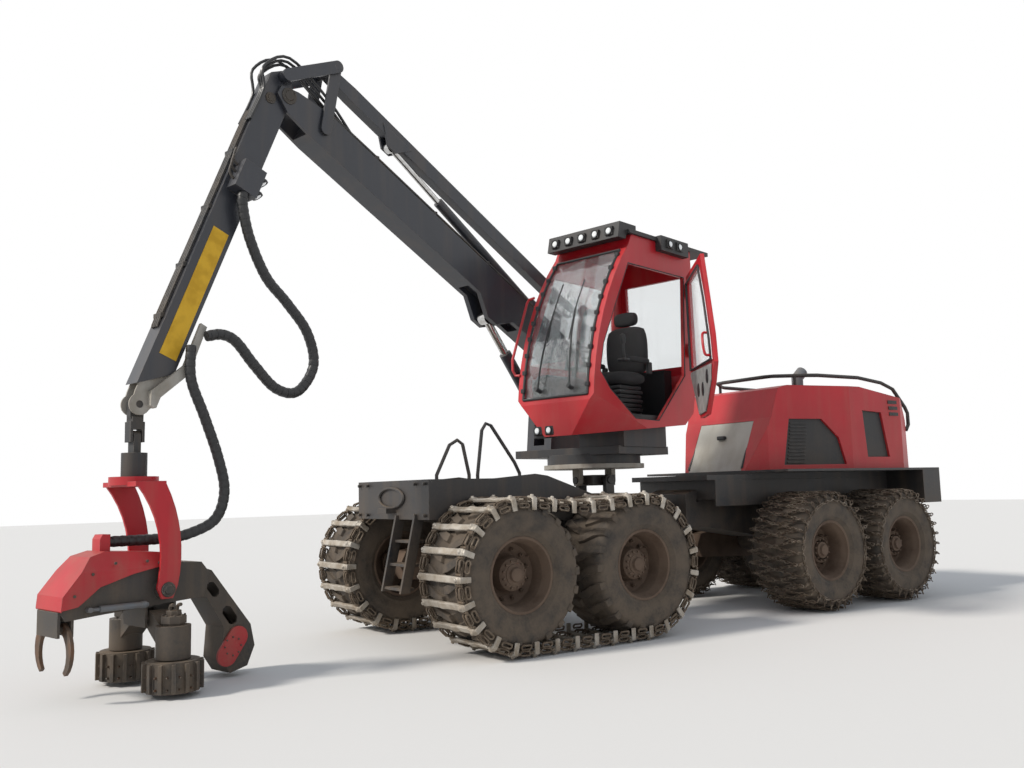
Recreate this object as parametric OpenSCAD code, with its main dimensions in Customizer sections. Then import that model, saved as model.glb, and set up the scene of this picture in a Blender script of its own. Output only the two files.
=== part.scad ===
/* [Wheels] */
// Outer radius of a tyre
tyre_r = 672; // [640:1:690]
// Width of a tyre
tyre_w = 710; // [600:5:720]
// Outer radius of a rim flange
rim_r = 350; // [320:5:380]
// Distance between the two middle planes of the tyres of one axle line
wheel_track = 2240; // [2180:5:2300]
// Distance between the two wheels of a bogie
bogie_base = 1500; // [1480:5:1560]
// Distance from the slewing axis forward to the front bogie's pivot
front_bogie = 1335; // [1250:5:1400]
// Distance from the slewing axis back to the rear bogie's pivot
rear_bogie = 3140; // [3050:5:3250]
// Height of the cross bars of the tracks above the tyre
shoe_h = 60; // [50:1:65]
// Length of a cross bar along the track
shoe_l = 64; // [50:2:80]
// Number of cross bars of a track
shoe_count = 31; // [28:1:34]
// Height of the chain links above a rear tyre
chain_h = 33; // [25:1:36]
// Number of cross chains on a rear tyre
chain_count = 18; // [14:1:20]

/* [Frames] */
// Width of the front frame over its nose
nose_w = 1480; // [1400:10:1500]
// Distance from the slewing axis forward to the nose plate
nose_y = 2650; // [2600:10:2700]
// Height of the lower edge of the nose
nose_z = 1240; // [1200:10:1280]
// Height of the frames' upper deck
deck_z = 1620; // [1600:5:1640]
// Thickness of the frame plates
plate_t = 20; // [12:1:30]
// Distance from the slewing axis back to the steering hinge
hinge_y = 880; // [850:5:920]
// Radius of the steering hinge pin
hinge_r = 60; // [50:1:70]
// Distance from the slewing axis back to the end of the rear frame
tail_y = 5180; // [5100:10:5260]
// Width of the rear frame between the tyres
rear_w = 1300; // [1200:10:1400]
// Width of the rear deck above the tyres
tail_w = 2400; // [2300:10:2450]

/* [Hood] */
// Distance from the slewing axis back to the hood's front foot
hood_y = 2010; // [2000:5:2060]
// Half width of the hood's front panel
hood_front_w = 510; // [480:5:560]
// Half width of the hood at its rear
hood_rear_w = 1080; // [1000:5:1150]
// Height of the hood's top
hood_z = 2740; // [2700:5:2780]
// Thickness of the hood's skin
hood_t = 30; // [20:1:40]
// Diameter of the guard rail's tube
rail_d = 50; // [40:1:60]

/* [Cab] */
// Angle by which cab and crane stand turned to the left at rest
slew_rest = 12; // [0:1:20]
// Middle of the cab, left of the slewing axis
cab_x = 430; // [410:5:450]
// Half width of the cab
cab_hw = 520; // [500:5:540]
// Thickness of the cab's walls
cab_t = 50; // [40:1:60]
// Height of the cab's roof
roof_z = 4250; // [4200:5:4300]
// Height of the cab's lower front edge
cab_z = 2050; // [2040:2:2070]
// Angle by which the door stands open at rest
door_open = 40; // [0:1:90]
// Thickness of the glass
glass_t = 8; // [6:1:12]

/* [Crane] */
// Distance of the crane's middle plane right of the slewing axis
crane_x = 620; // [600:5:650]
// Width of the main boom
boom_w = 280; // [260:5:300]
// Depth of the main boom
boom_d = 360; // [320:5:400]
// Angle of the main boom above level at rest
boom_a = 27.8; // [20:0.1:35]
// Length of the main boom between its pins
boom_l = 4690; // [4600:10:4800]
// Angle of the stick outward from plumb at rest
stick_a = 22.3; // [15:0.1:30]
// Length of the stick from its pin to its lower end
stick_l = 3130; // [3000:10:3200]
// Width of the stick
stick_w = 200; // [190:2:210]
// Depth of the stick
stick_d = 260; // [240:5:280]
// Diameter of the crane's main pins
pin_d = 90; // [80:1:100]
// Running clearance of a pin in its bore, on the radius
pin_c = 0.05; // [0.02:0.01:0.1]
// Side clearance between pieces that turn on each other
gap = 8; // [6:1:10]

/* [Head] */
// Length of the hanging link under the crane's tip
link_l = 260; // [240:5:280]
// Height of the tilt pin of the harvester head
tilt_z = 790; // [780:2:800]
// Half width over the head's frame
head_hw = 200; // [180:5:220]

/* [Hidden] */
$fn = 48;

black = [0.07, 0.07, 0.08];
red = [0.72, 0.06, 0.09];
grey = [0.45, 0.46, 0.47];
pale = [0.72, 0.71, 0.66];
tyre_colour = [0.16, 0.13, 0.11];
rim_colour = [0.30, 0.24, 0.19];

// Heights of the wheel centres, which stand on cross bars or chain links
front_z = tyre_r + shoe_h;
rear_z = tyre_r + chain_h;
wheel_x = wheel_track / 2;
frame_hw = nose_w / 2;

// An outline in the Y-Z plane, extruded from x0 to x1
module slab(x0, x1) {
    translate([x0, 0, 0])
        rotate([90, 0, 90])
            linear_extrude(x1 - x0)
                children();
}

// A round bar along X through the point p in the Y-Z plane
module pin(p, d, x0, x1) {
    translate([x0, p[0], p[1]])
        rotate([0, 90, 0])
            cylinder(h = x1 - x0, d = d);
}

// A flat bar with round ends between two points of the plane
module bar(p, q, w) {
    v = q - p;
    translate(p)
        rotate(atan2(v[1], v[0]))
            translate([0, -w / 2])
                square([norm(v), w]);
    translate(p)
        circle(d = w);
    translate(q)
        circle(d = w);
}

// A round tube between two points of space
module tube(p, q, d) {
    v = q - p;
    translate(p)
        rotate([0, acos(v[2] / norm(v)), atan2(v[1], v[0])])
            cylinder(h = norm(v), d = d);
}

// A bar of eight sides along a way of points; the way never runs along the vector ref
sides = 8;
module swept(p, d, ref) {
    last = len(p) - 1;
    rings = [for (i = [0 : last])
        let (t = p[min(i + 1, last)] - p[max(i - 1, 0)])
        let (u = t / norm(t), b = cross(u, ref) / norm(cross(u, ref)), a = cross(b, u))
        for (k = [0 : sides - 1])
            p[i] + d / 2 * (cos(k * 360 / sides) * a + sin(k * 360 / sides) * b)];
    walls = [for (i = [0 : last - 1]) for (k = [0 : sides - 1])
        [(i + 1) * sides + k, (i + 1) * sides + (k + 1) % sides, i * sides + (k + 1) % sides, i * sides + k]];
    ends = [[for (k = [0 : sides - 1]) k], [for (k = [sides - 1 : -1 : 0]) last * sides + k]];
    polyhedron(rings, concat(walls, ends), convexity = 6);
}

// Points of the arc from p to q that stands out by s to the left of the way
function arc_points(p, q, s, n) =
    let (c = norm(q - p), r = c * c / (8 * abs(s)) + abs(s) / 2)
    let (d = (q - p) / c, m = (p + q) / 2, left = [-d[1], d[0]])
    let (k = sign(s), o = m - left * k * (r - abs(s)))
    let (a0 = atan2(p[1] - o[1], p[0] - o[0]), half = asin(c / (2 * r)))
    [for (i = [0 : n]) o + r * [cos(a0 - k * 2 * half * i / n), sin(a0 - k * 2 * half * i / n)]];

// An outline whose points have moved by g towards the point c
function inset(points, c, g) = [for (p = points) p + (c - p) * g / norm(c - p)];

// Turns a cab or crane piece from its own frame into the machine's
module slewed() {
    rotate([0, 0, slew_rest])
        children();
}

// Front frame: nose box, sloped side plates, deck, slewing base and hinge ears
base_r = 330;
base_top = 1440;
ear_w = 130;
belly_z = 980;
module front_frame() {
    color(black) {
        slab(-beam_hw, beam_hw)
            polygon([[-2000, 1180], [-1900, 1450], [-1300, 1500], [-620, 1430], [-base_r, 1400],
                     [base_r, 1400], [base_r, 1000], [-380, belly_z - 60], [-1000, 820],
                     [-1700, 820], [-2000, belly_z]]);
        pin([-front_bogie, front_z + pivot_up], pivot_d, -pivot_x, pivot_x);
        difference() {
            for (z = [1020, 1290])
                translate([0, 0, z])
                    linear_extrude(80) {
                        translate([-ear_w, base_r - 80])
                            square([2 * ear_w, hinge_y - base_r + 80]);
                        translate([0, hinge_y])
                            circle(r = ear_w);
                    }
            translate([0, hinge_y, 900])
                cylinder(h = 600, r = hinge_r + pin_c);
        }
    }
}

// Slewing base: drum with the two forks of the levelling cross
module slew_base() {
    color(black) {
        translate([0, 0, 1400 + seat_gap])
            cylinder(h = base_top - 1400 - seat_gap, r = base_r - seat_gap);
        difference() {
            for (s = [-1, 1])
                slab(s > 0 ? fork_x0 : -fork_x1, s > 0 ? fork_x1 : -fork_x0) {
                    translate([-fork_r, base_top - 10])
                        square([2 * fork_r, cross_z - base_top + 10]);
                    translate([0, cross_z])
                        circle(r = fork_r);
                }
            pin([0, cross_z], cross_d + 2 * pin_c, -300, 300);
        }
    }
}

// Front deck: nose, deck plate, floor and sloped side plates on either side of the beam
beam_hw = 330;
module front_deck() {
    front_steps();
    hw = frame_hw - plate_t;
    color(black) {
        for (s = [-1, 1]) {
            slab(s > 0 ? hw : -frame_hw, s > 0 ? frame_hw : -hw)
                polygon([[-nose_y, nose_z], [-nose_y, deck_z], [-1900, deck_z], [-1400, deck_z + 40],
                         [-1250, deck_z + 20], [-620, 1430], [-380, 1430], [-380, 1180], [-1800, 1180],
                         [-1900, nose_z]]);
            translate([s > 0 ? beam_hw + seat_gap : -hw - 1, -1990, 1180])
                cube([hw + 1 - beam_hw - seat_gap, 1500, plate_t]);
        }
        translate([-hw - 1, -nose_y, nose_z])
            cube([2 * hw + 2, plate_t, deck_z - nose_z]);
        translate([-hw - 1, -nose_y + plate_t - 1, deck_z - plate_t])
            cube([2 * hw + 2, 1441, plate_t]);
        tow_lug(-1);
    }
}

// Bogie pivots: diameter, height above the wheels, half length
pivot_d = 300;
pivot_up = 60;
pivot_x = 650;

// A tow lug with an upright bore at either end of the machine
lug_r = 32;
lug_z = 1300;
module tow_lug(s) {
    y = s < 0 ? -nose_y : tail_y;
    difference() {
        translate([-90, s < 0 ? y - 110 : y, lug_z])
            cube([180, 110, 50]);
        translate([0, y + s * 55, lug_z - 1])
            cylinder(h = 52, r = lug_r);
    }
}

// Ladder and hand rails of the front deck
step_x = 120;
step_w = 400;
rail_x = 600;
module front_steps() {
    color(black) {
        for (x = [step_x, step_x + step_w - 30])
            slab(x, x + 30)
                polygon([[-nose_y - 30, nose_z + 40], [-nose_y + 5, nose_z + 40], [-nose_y + 70, nose_z],
                         [-nose_y - 90, 560], [-nose_y - 190, 560]]);
        for (k = [0 : 2])
            translate([step_x + 20, -nose_y - 100 - 65 + k * 60, 580 + k * 220])
                cube([step_w - 40, 130, 25]);
        swept([[rail_x, -2480, deck_z - 5], [rail_x, -2480, deck_z + 40], [rail_x, -2330, deck_z + 330],
               [rail_x, -2240, deck_z + 380], [rail_x, -2180, deck_z + 340], [rail_x, -2110, deck_z + 40],
               [rail_x, -2110, deck_z - 5]], 36, [1, 0, 0]);
        swept([[rail_x, -2010, deck_z - 5], [rail_x, -2010, deck_z + 40], [rail_x, -1950, deck_z + 480],
               [rail_x, -1900, deck_z + 550], [rail_x, -1840, deck_z + 530], [rail_x, -1560, deck_z + 160],
               [rail_x, -1500, deck_z + 50], [rail_x, -1500, deck_z - 5]], 36, [1, 0, 0]);
    }
}

// A turned wheel rim with its hub, its axis along X, its outside towards +X
module rim_body() {
    rotate([0, 90, 0])
        rotate_extrude()
            polygon([[0, -120], [150, -120], [150, -40], [260, -40], [300, -200], [325, -300], [rim_r, -300],
                     [rim_r, -270], [330, -240], [330, 240], [rim_r, 270], [rim_r, 300], [325, 300],
                     [295, 200], [285, 60], [190, 20], [170, 40], [150, 150], [110, 180], [0, 180]]);
}

// A turned tyre, its axis along X
module tyre_body() {
    h = tyre_w / 2;
    rotate([0, 90, 0])
        rotate_extrude()
            polygon([[rim_r, -h + 55], [rim_r + 80, -h + 8], [tyre_r - 110, -h], [tyre_r - 30, -h + 30],
                     [tyre_r, -h + 80], [tyre_r, h - 80], [tyre_r - 30, h - 30], [tyre_r - 110, h],
                     [rim_r + 80, h - 8], [rim_r, h - 55]]);
}

// Places a child at both wheels of the bogie at y, height z, on side s
module at_wheels(s, y, z) {
    for (k = [-1, 1])
        translate([s * wheel_x, y + k * bogie_base / 2, z])
            rotate([0, 0, s > 0 ? 0 : 180])
                children();
}

// A bogie case: gear box beam between its wheels, with stub axles
module bogie_case(s, y, z) {
    x0 = wheel_x - tyre_w / 2 - 40;
    difference() {
        slab(s > 0 ? x0 - 190 : -x0, s > 0 ? x0 : -x0 + 190)
            polygon([[y - bogie_base / 2 - 190, z], [y - bogie_base / 2 - 110, z + 150],
                     [y - 260, z + 240], [y + 260, z + 240], [y + bogie_base / 2 + 110, z + 150],
                     [y + bogie_base / 2 + 190, z], [y + bogie_base / 2 + 110, z - 150],
                     [y, z - 190], [y - bogie_base / 2 - 110, z - 150]]);
        pin([y, z + pivot_up], pivot_d + 2 * pin_c, -wheel_x, wheel_x);
    }
    for (k = [-1, 1])
        pin([y + k * bogie_base / 2, z], 260, s > 0 ? x0 - 10 : -wheel_x + 60, s > 0 ? wheel_x - 60 : -x0 + 10);
}

module bogie_front(s) {
    color(rim_colour) {
        bogie_case(s, -front_bogie, front_z);
        at_wheels(s, -front_bogie, front_z)
            rim_body();
    }
}

module tyres_front(s) {
    color(tyre_colour)
        at_wheels(s, -front_bogie, front_z)
            tyre_body();
}

// Height of the loop's top run, which hangs through between the wheels, and its slope
sag = 55;
function top_run(y) = tyre_r - sag * pow(1 - pow(2 * y / bogie_base, 2), 2);
function top_slope(y) = let (f = 2 * y / bogie_base) atan(8 * sag * f * (1 - f * f) / bogie_base);

// Place [y, z, angle] on the loop at distance d from the top run's front end
loop_run = bogie_base;
loop_arc = PI * tyre_r;
function loop_at(d) =
    d < loop_run ? let (y = -bogie_base / 2 + d) [y, top_run(y), top_slope(y)]
    : d < loop_run + loop_arc ?
        let (a = (d - loop_run) / tyre_r * 180 / PI)
        [bogie_base / 2 + tyre_r * sin(a), tyre_r * cos(a), -a]
    : d < 2 * loop_run + loop_arc ? [bogie_base / 2 - (d - loop_run - loop_arc), -tyre_r, -180]
    : let (a = (d - 2 * loop_run - loop_arc) / tyre_r * 180 / PI)
      [-bogie_base / 2 - tyre_r * sin(a), -tyre_r * cos(a), -180 - a];

// The filled outline of the loop at height h above the tyres
module loop_shape(h) {
    steps = 12;
    run = [for (i = [0 : steps]) let (y = (i / steps - 0.5) * bogie_base) [y, top_run(y) + h]];
    polygon(concat(run, [[bogie_base / 2, -tyre_r - h], [-bogie_base / 2, -tyre_r - h]]));
    for (k = [-1, 1])
        translate([k * bogie_base / 2, 0])
            circle(r = tyre_r + h);
}

link_h = 26;
module track(s) {
    half = tyre_w / 2 - 5;
    color(grey)
        translate([s * wheel_x, -front_bogie, front_z]) {
            for (e = [-1, 1])
                slab(e > 0 ? half - 70 : -half, e > 0 ? half : -half + 70)
                    difference() {
                        loop_shape(link_h);
                        loop_shape(0);
                    }
            for (k = [0 : shoe_count - 1]) {
                p = loop_at((k + 0.5) * (2 * loop_run + 2 * loop_arc) / shoe_count);
                translate([0, p[0], p[1]])
                    rotate([p[2], 0, 0])
                        translate([-half, -shoe_l / 2, 5])
                            cube([2 * half, shoe_l, shoe_h - 5]);
            }
        }
}

// Middle piece between the frames: steering pin and roll bearing
roll_z = 1155;
roll_r = 110;
module knuckle() {
    color(black) {
        translate([0, hinge_y, 1020 - 40])
            cylinder(h = 430, r = hinge_r);
        translate([-140, hinge_y - 100, 1100 + 5])
            cube([280, 260, 180]);
        translate([0, hinge_y + 150, roll_z + 40])
            rotate([-90, 0, 0])
                cylinder(h = 380, r = roll_r);
    }
}

// Rear frame: narrow box beams between the tyres
rear_start = hinge_y + 260;
module rear_frame() {
    hw = rear_w / 2;
    color(black) {
        difference() {
            slab(-330, 330)
                polygon([[rear_start, 1000], [rear_start, 1400], [1700, 1560], [tail_y - 400, 1560],
                         [tail_y - 400, 1150], [rear_bogie + 500, 820], [rear_bogie - 500, 820],
                         [rear_start + 300, 1000]]);
            translate([0, rear_start - 1, roll_z + 40])
                rotate([-90, 0, 0])
                    cylinder(h = 300, r = roll_r + pin_c);
            translate([-beam_hw - 1, 1319, 1299])
                cube([2 * beam_hw + 2, 42, 30]);
        }
        for (s = [-1, 1])
            slab(s > 0 ? hw - plate_t : -hw, s > 0 ? hw : -hw + plate_t)
                polygon([[1320, 1250], [1320, 1560], [tail_y - 400, 1560], [tail_y - 400, 1250]]);
        for (y = [1320, 2300, tail_y - 440])
            translate([-hw, y, 1330])
                cube([2 * hw, 40, 230]);
        pin([rear_bogie, rear_z + pivot_up], pivot_d, -pivot_x, pivot_x);
    }
}

// Rear deck: walkway, floor above the tyres and the tail box
module rear_deck() {
    hw = tail_w / 2;
    color(black) {
        translate([-rear_w / 2, rear_start + 40, 1560])
            cube([rear_w, hood_y - rear_start - 40, deck_z - 1560]);
        translate([-hw, hood_y - 40, 1640 + seat_gap])
            cube([tail_w, tail_y - hood_y + 40, 30 - seat_gap]);
        translate([-rear_w / 2, hood_y - 40, 1560])
            cube([rear_w, tail_y - 400 - hood_y + 40, 81]);
    }
}

// Tail box behind the rear wheels, with its tow lug
tail_l = 400;
module tail_box() {
    color(black) {
        translate([-tail_w / 2, tail_y - tail_l + seat_gap, 1200])
            cube([tail_w, tail_l - seat_gap, 440]);
        tow_lug(1);
    }
}

// Outline of the hood seen from above, grown by g: [half width, y]
hood_end = tail_y - 340;
function hood_plan(g) = [
    [hood_front_w + g, -g], [hood_front_w + 190 + g, 240], [hood_rear_w - 60 + g, 1500],
    [hood_rear_w + g, hood_end - hood_y - 300], [hood_rear_w - 120 + g, hood_end - hood_y + g]
];
module hood_plan_shape(g) {
    right = hood_plan(g);
    left = [for (i = [len(right) - 1 : -1 : 0]) [-right[i][0], right[i][1]]];
    translate([0, hood_y])
        polygon(concat(right, left));
}

// Side outline of the hood between its foot and its top, set in by g
foot_z = 1670;
module hood_side_shape(g) {
    polygon([[hood_y - 1 + g, foot_z - 1], [hood_y + 300 + g, foot_z + 660], [hood_y + 420 + g, hood_z - 40 - g],
             [hood_y + 560, hood_z - g], [hood_y + 1700, hood_z - g], [hood_end - 250, hood_z - 130 - g],
             [hood_end - 40 - g, hood_z - 420], [hood_end - g, foot_z - 1]]);
}
module hood_form(g) {
    intersection() {
        translate([0, 0, foot_z])
            linear_extrude(hood_z - foot_z + 1)
                hood_plan_shape(-g);
        slab(-hood_rear_w, hood_rear_w)
            hood_side_shape(g);
    }
}
panel_z = foot_z + 640;
module hood() {
    color(red)
        difference() {
            hood_form(0);
            hood_form(hood_t);
            translate([-hood_front_w + 60, hood_y - 10, foot_z - 10])
                cube([2 * hood_front_w - 120, 420, panel_z - foot_z]);
            hood_window_cuts();
            translate([exhaust_x, exhaust_y, hood_z - 200])
                cylinder(h = 300, d = exhaust_d + 20);
        }
}

// Side openings of the hood for its grille and window panels
module hood_window_cuts() {
    slab(-hood_rear_w - 100, hood_rear_w + 100) {
        polygon([[hood_y + 460, foot_z + 60], [hood_y + 560, foot_z + 640], [hood_y + 1050, foot_z + 640],
                 [hood_y + 1300, foot_z + 400], [hood_y + 1400, foot_z + 60]]);
        polygon([[hood_y + 1800, foot_z + 150], [hood_y + 1740, foot_z + 760], [hood_y + 2120, foot_z + 740],
                 [hood_y + 2250, foot_z + 150]]);
    }
}
module hood_sides() {
    color(black) {
        intersection() {
            difference() {
                hood_form(hood_t - 14);
                hood_form(hood_t + 1);
            }
            slab(-hood_rear_w - 100, hood_rear_w + 100)
                for (k = [0 : 11])
                    translate([hood_y + 530 + k * 6, foot_z + 80 + k * 45])
                        square([250, 20]);
        }
        intersection() {
            difference() {
                hood_form(-10);
                hood_form(-seat_gap);
            }
            slab(-hood_rear_w - 100, hood_rear_w + 100)
                for (k = [0 : 2])
                    translate([hood_y + 2290 - k * 10, foot_z + 700 + k * 80])
                        square([190, 45]);
        }
        intersection() {
            difference() {
                hood_form(hood_t + seat_gap);
                hood_form(hood_t + 14);
            }
            slab(-hood_rear_w - 100, hood_rear_w + 100) {
                polygon([[hood_y + 430, foot_z + 30], [hood_y + 530, foot_z + 670], [hood_y + 1070, foot_z + 670],
                         [hood_y + 1330, foot_z + 410], [hood_y + 1430, foot_z + 30]]);
                polygon([[hood_y + 1770, foot_z + 120], [hood_y + 1710, foot_z + 790], [hood_y + 2150, foot_z + 770],
                         [hood_y + 2280, foot_z + 120]]);
            }
        }
    }
}
module hood_front() {
    color(pale)
        intersection() {
            difference() {
                hood_form(2);
                hood_form(hood_t - 2);
            }
            translate([-hood_front_w + 63, hood_y - 10, foot_z])
                cube([2 * hood_front_w - 126, 417, panel_z - foot_z - 13]);
        }
}
module hood_rail() {
    z = hood_z + 150;
    y0 = hood_y + 640;
    half = [[0, y0, z], [360, y0, z], [480, y0 + 40, z], [740, y0 + 400, z], [800, y0 + 520, z], [860, y0 + 1300, z],
            [880, hood_end - 400, z - 50], [910, hood_end - 180, z - 130], [950, hood_end + 20, z - 380],
            [960, hood_end + 60, z - 460], [960, hood_end + 60, z - 620], [960, hood_end + seat_gap, z - 700]];
    other = [for (i = [len(half) - 1 : -1 : 1]) [-half[i][0], half[i][1], half[i][2]]];
    color(black) {
        swept(concat(other, half), rail_d, [1, 0, 1]);
        for (s = [-1, 1])
            translate([s * 640, y0 + 262, hood_z + seat_gap])
                cylinder(h = z - hood_z - seat_gap, d = 40);
    }
}
exhaust_x = 420;
exhaust_y = 3250;
exhaust_d = 150;
module exhaust() {
    color(grey) {
        translate([exhaust_x, exhaust_y, 2350])
            cylinder(h = hood_z + 160 - 2350, d = exhaust_d);
        translate([exhaust_x, exhaust_y, hood_z + 160])
            sphere(d = exhaust_d);
        tube([exhaust_x, exhaust_y, hood_z + 160], [exhaust_x, exhaust_y + 110, hood_z + 250], exhaust_d);
    }
}
module engine() {
    color(grey)
        translate([-350, 2700, foot_z])
            cube([700, 1250, 680]);
}

module bogie_rear(s) {
    color(rim_colour)
        bogie_case(s, rear_bogie, rear_z);
}

// A rear wheel: tyre, rim and ladder chain, k is -1 in front and 1 behind
module rear_wheel(s, k) {
    color(tyre_colour)
        translate([s * wheel_x, rear_bogie + k * bogie_base / 2, rear_z])
            rotate([0, 0, s > 0 ? 0 : 180])
                difference() {
                    union() {
                        tyre_body();
                        rim_body();
                        for (i = [0 : chain_count - 1])
                            rotate([i * 360 / chain_count, 0, 0])
                                translate([-tyre_w / 2 + 60, -25, tyre_r - 20])
                                    cube([tyre_w - 120, 50, chain_h + 20]);
                    }
                    translate([-wheel_x, 0, 0])
                        rotate([0, 90, 0])
                            cylinder(h = 2 * wheel_x, d = 260 + 2 * pin_c);
                }
}

// Levelling cross: the middle piece of the two crossed tilt axes
cross_z = 1590;
cross_d = 80;
fork_x0 = 215;
fork_x1 = 275;
fork_r = 60;
module level_cross() {
    color(black) {
        translate([-170, -170, cross_z - 60])
            cube([340, 340, 120]);
        pin([0, cross_z], cross_d, -290, 290);
        rotate(90)
            pin([0, cross_z], cross_d, -290, 290);
    }
}
table_z = 1720;
table_r = 580;
table_h = 50;
module level_table() {
    color(grey) {
        translate([0, 0, table_z])
            cylinder(h = table_h, r = table_r);
        rotate(90)
            difference() {
                for (s = [-1, 1])
                    slab(s > 0 ? fork_x0 : -fork_x1, s > 0 ? fork_x1 : -fork_x0) {
                        translate([-fork_r, cross_z])
                            square([2 * fork_r, table_z - cross_z + 10]);
                        translate([0, cross_z])
                            circle(r = fork_r);
                    }
                pin([0, cross_z], cross_d + 2 * pin_c, -300, 300);
            }
    }
}

// Height of the cab's sloped underside at y
function cab_floor(y) = cab_z + (y + 1150) * (2190 - cab_z) / 1650;

// Turntable under cab and crane
seat_gap = 0.3;
turn_z = 1955;
module turntable() {
    color(black)
        slewed() {
            translate([0, 0, table_z + table_h + seat_gap])
                cylinder(h = 110, r = 540);
            translate([-crane_x - 200, -450, turn_z - 90])
                cube([crane_x + 200 + 700, 950, 90]);
            slab(cab_x - 330, cab_x + 290)
                polygon([[-380, turn_z - 10], [440, turn_z - 10], [440, cab_floor(440) - seat_gap],
                         [-380, cab_floor(-380) - seat_gap]]);
        }
}

// Crane post: two side plates with a web behind, open in front
post_top = 3180;
slot_z = 2750;
module pillar() {
    color(black)
        slewed()
            translate([-crane_x, 0, 0]) {
                difference() {
                    slab(-190, 190)
                        polygon([[-260, turn_z + seat_gap], [-200, 2500], [150, post_top], [450, post_top],
                                 [480, 2500], [480, turn_z + seat_gap]]);
                    translate([-boom_w / 2 - gap, -600, slot_z])
                        cube([boom_w + 2 * gap, 1400, 900]);
                    slab(-lift_d / 2 - 12, lift_d / 2 + 12)
                        polygon([[-600, 2020], [60, 2020], [60, slot_z + 10], [-600, slot_z + 10]]);
                }
                pin(foot, pin_d, -232, 232);
                pin(lift_foot, 80, -150, 150);
            }
}

// Crane pins in the crane's plane: [y, z]
foot = [300, 3050];
boom_u = [-cos(boom_a), sin(boom_a)];
boom_v = [sin(boom_a), cos(boom_a)];
function on_boom(u, v) = foot + boom_u * u + boom_v * v;
elbow = on_boom(boom_l, 0);
stick_s = [-sin(stick_a), -cos(stick_a)];
stick_t = [-cos(stick_a), sin(stick_a)];
function on_stick(s, t) = elbow + stick_s * s + stick_t * t;

module crane_plane() {
    slewed()
        translate([-crane_x, 0, 0])
            children();
}

module boom() {
    h = boom_d / 2;
    w = boom_w / 2;
    color(black)
        crane_plane() {
            difference() {
                slab(-w, w)
                    polygon([on_boom(-170, -60), on_boom(-60, 170), on_boom(500, h), on_boom(boom_l - 420, h),
                             on_boom(boom_l - 60, 110), on_boom(boom_l + 110, 40), on_boom(boom_l + 110, -60),
                             on_boom(boom_l - 60, -150), on_boom(boom_l - 420, -h), on_boom(1750, -h),
                             on_boom(1530, -360), on_boom(1370, -360), on_boom(1150, -h), on_boom(300, -h),
                             on_boom(-60, -170)]);
                slab(-stick_w / 2 - gap, stick_w / 2 + gap)
                    polygon([on_boom(boom_l - 330, h + 10), on_boom(boom_l + 200, h + 10),
                             on_boom(boom_l + 200, -h - 10), on_boom(boom_l - 330, -h - 10)]);
                slab(-lift_d / 2 - 10, lift_d / 2 + 10)
                    polygon([on_boom(1000, -110), on_boom(1900, -110), on_boom(1900, -500), on_boom(1000, -500)]);
                pin(foot, pin_d + 2 * pin_c, -300, 300);
                pin(on_boom(rocker_u, 0), link_d + 2 * pin_c, -300, 300);
            }
            pin(elbow, pin_d, -w, w);
            for (s = [-1, 1])
                slab(s > 0 ? lug_x0 : -lug_x1, s > 0 ? lug_x1 : -lug_x0)
                    polygon([on_boom(barrel_pin[0] - 150, h - 10), on_boom(barrel_pin[0] - 40, barrel_pin[1] + 50),
                             on_boom(barrel_pin[0] + 40, barrel_pin[1] + 50), on_boom(barrel_pin[0] + 150, h - 10)]);
            pin(on_boom(barrel_pin[0], barrel_pin[1]), 50, -lug_x1, lug_x1);
        }
}

// Cylinder pins in the boom's own measures [along, above]
lift_foot = [-50, 2150];
lift_eye = [1450, -300];
barrel_pin = [900, 265];
rod_eye = [3450, 520];
arm_v = [200, 640];
rocker_u = 4230;
stick_pin = [120, 141];
link_d = 70;

// Turns a child's +Y axis along the line from p to q of the Y-Z plane
module along(p, q) {
    v = q - p;
    translate([0, p[0], p[1]])
        rotate([atan2(v[1], v[0]), 0, 0])
            children();
}

// Cylinder barrel with a cross-bored eye at p, its mouth towards q
module barrel(p, q, l, d, bore, eye_w, eye_pin) {
    along(p, q)
        difference() {
            union() {
                rotate([-90, 0, 0])
                    cylinder(h = l, d = d);
                pin([0, 0], d + 30, -eye_w / 2, eye_w / 2);
            }
            pin([0, 0], eye_pin + 2 * pin_c, -eye_w, eye_w);
            translate([0, d / 2 + 60, 0])
                rotate([-90, 0, 0])
                    cylinder(h = l, d = bore);
        }
}

// Cylinder rod from its inner end at distance a from p to its eye at q
module rod(p, q, a, d, eye_w, eye_pin) {
    l = norm(q - p);
    along(p, q)
        difference() {
            union() {
                translate([0, a, 0])
                    rotate([-90, 0, 0])
                        cylinder(h = l - a, d = d);
                pin([l, 0], d + 60, -eye_w / 2, eye_w / 2);
            }
            pin([l, 0], eye_pin + 12, -eye_w, eye_w);
        }
}

lift_d = 140;
lift_rod_d = 90;
module lift_barrel() {
    color(black)
        crane_plane()
            barrel(lift_foot, on_boom(lift_eye[0], lift_eye[1]), 1200, lift_d, lift_rod_d + 0.6, 120, 80);
}
module lift_rod() {
    color(grey)
        crane_plane()
            rod(lift_foot, on_boom(lift_eye[0], lift_eye[1]), 481, lift_rod_d, 110, 70);
}

cyl_d = 110;
cyl_rod_d = 64;
lug_x0 = 61;
lug_x1 = 85;
module stick_barrel() {
    color(black)
        crane_plane()
            barrel(on_boom(barrel_pin[0], barrel_pin[1]), on_boom(rod_eye[0], rod_eye[1]), 1750, cyl_d,
                   cyl_rod_d + 0.6, 112, 50);
}
module stick_rod() {
    color(grey)
        crane_plane()
            rod(on_boom(barrel_pin[0], barrel_pin[1]), on_boom(rod_eye[0], rod_eye[1]), 400, cyl_rod_d, 66, 44);
}

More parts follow.
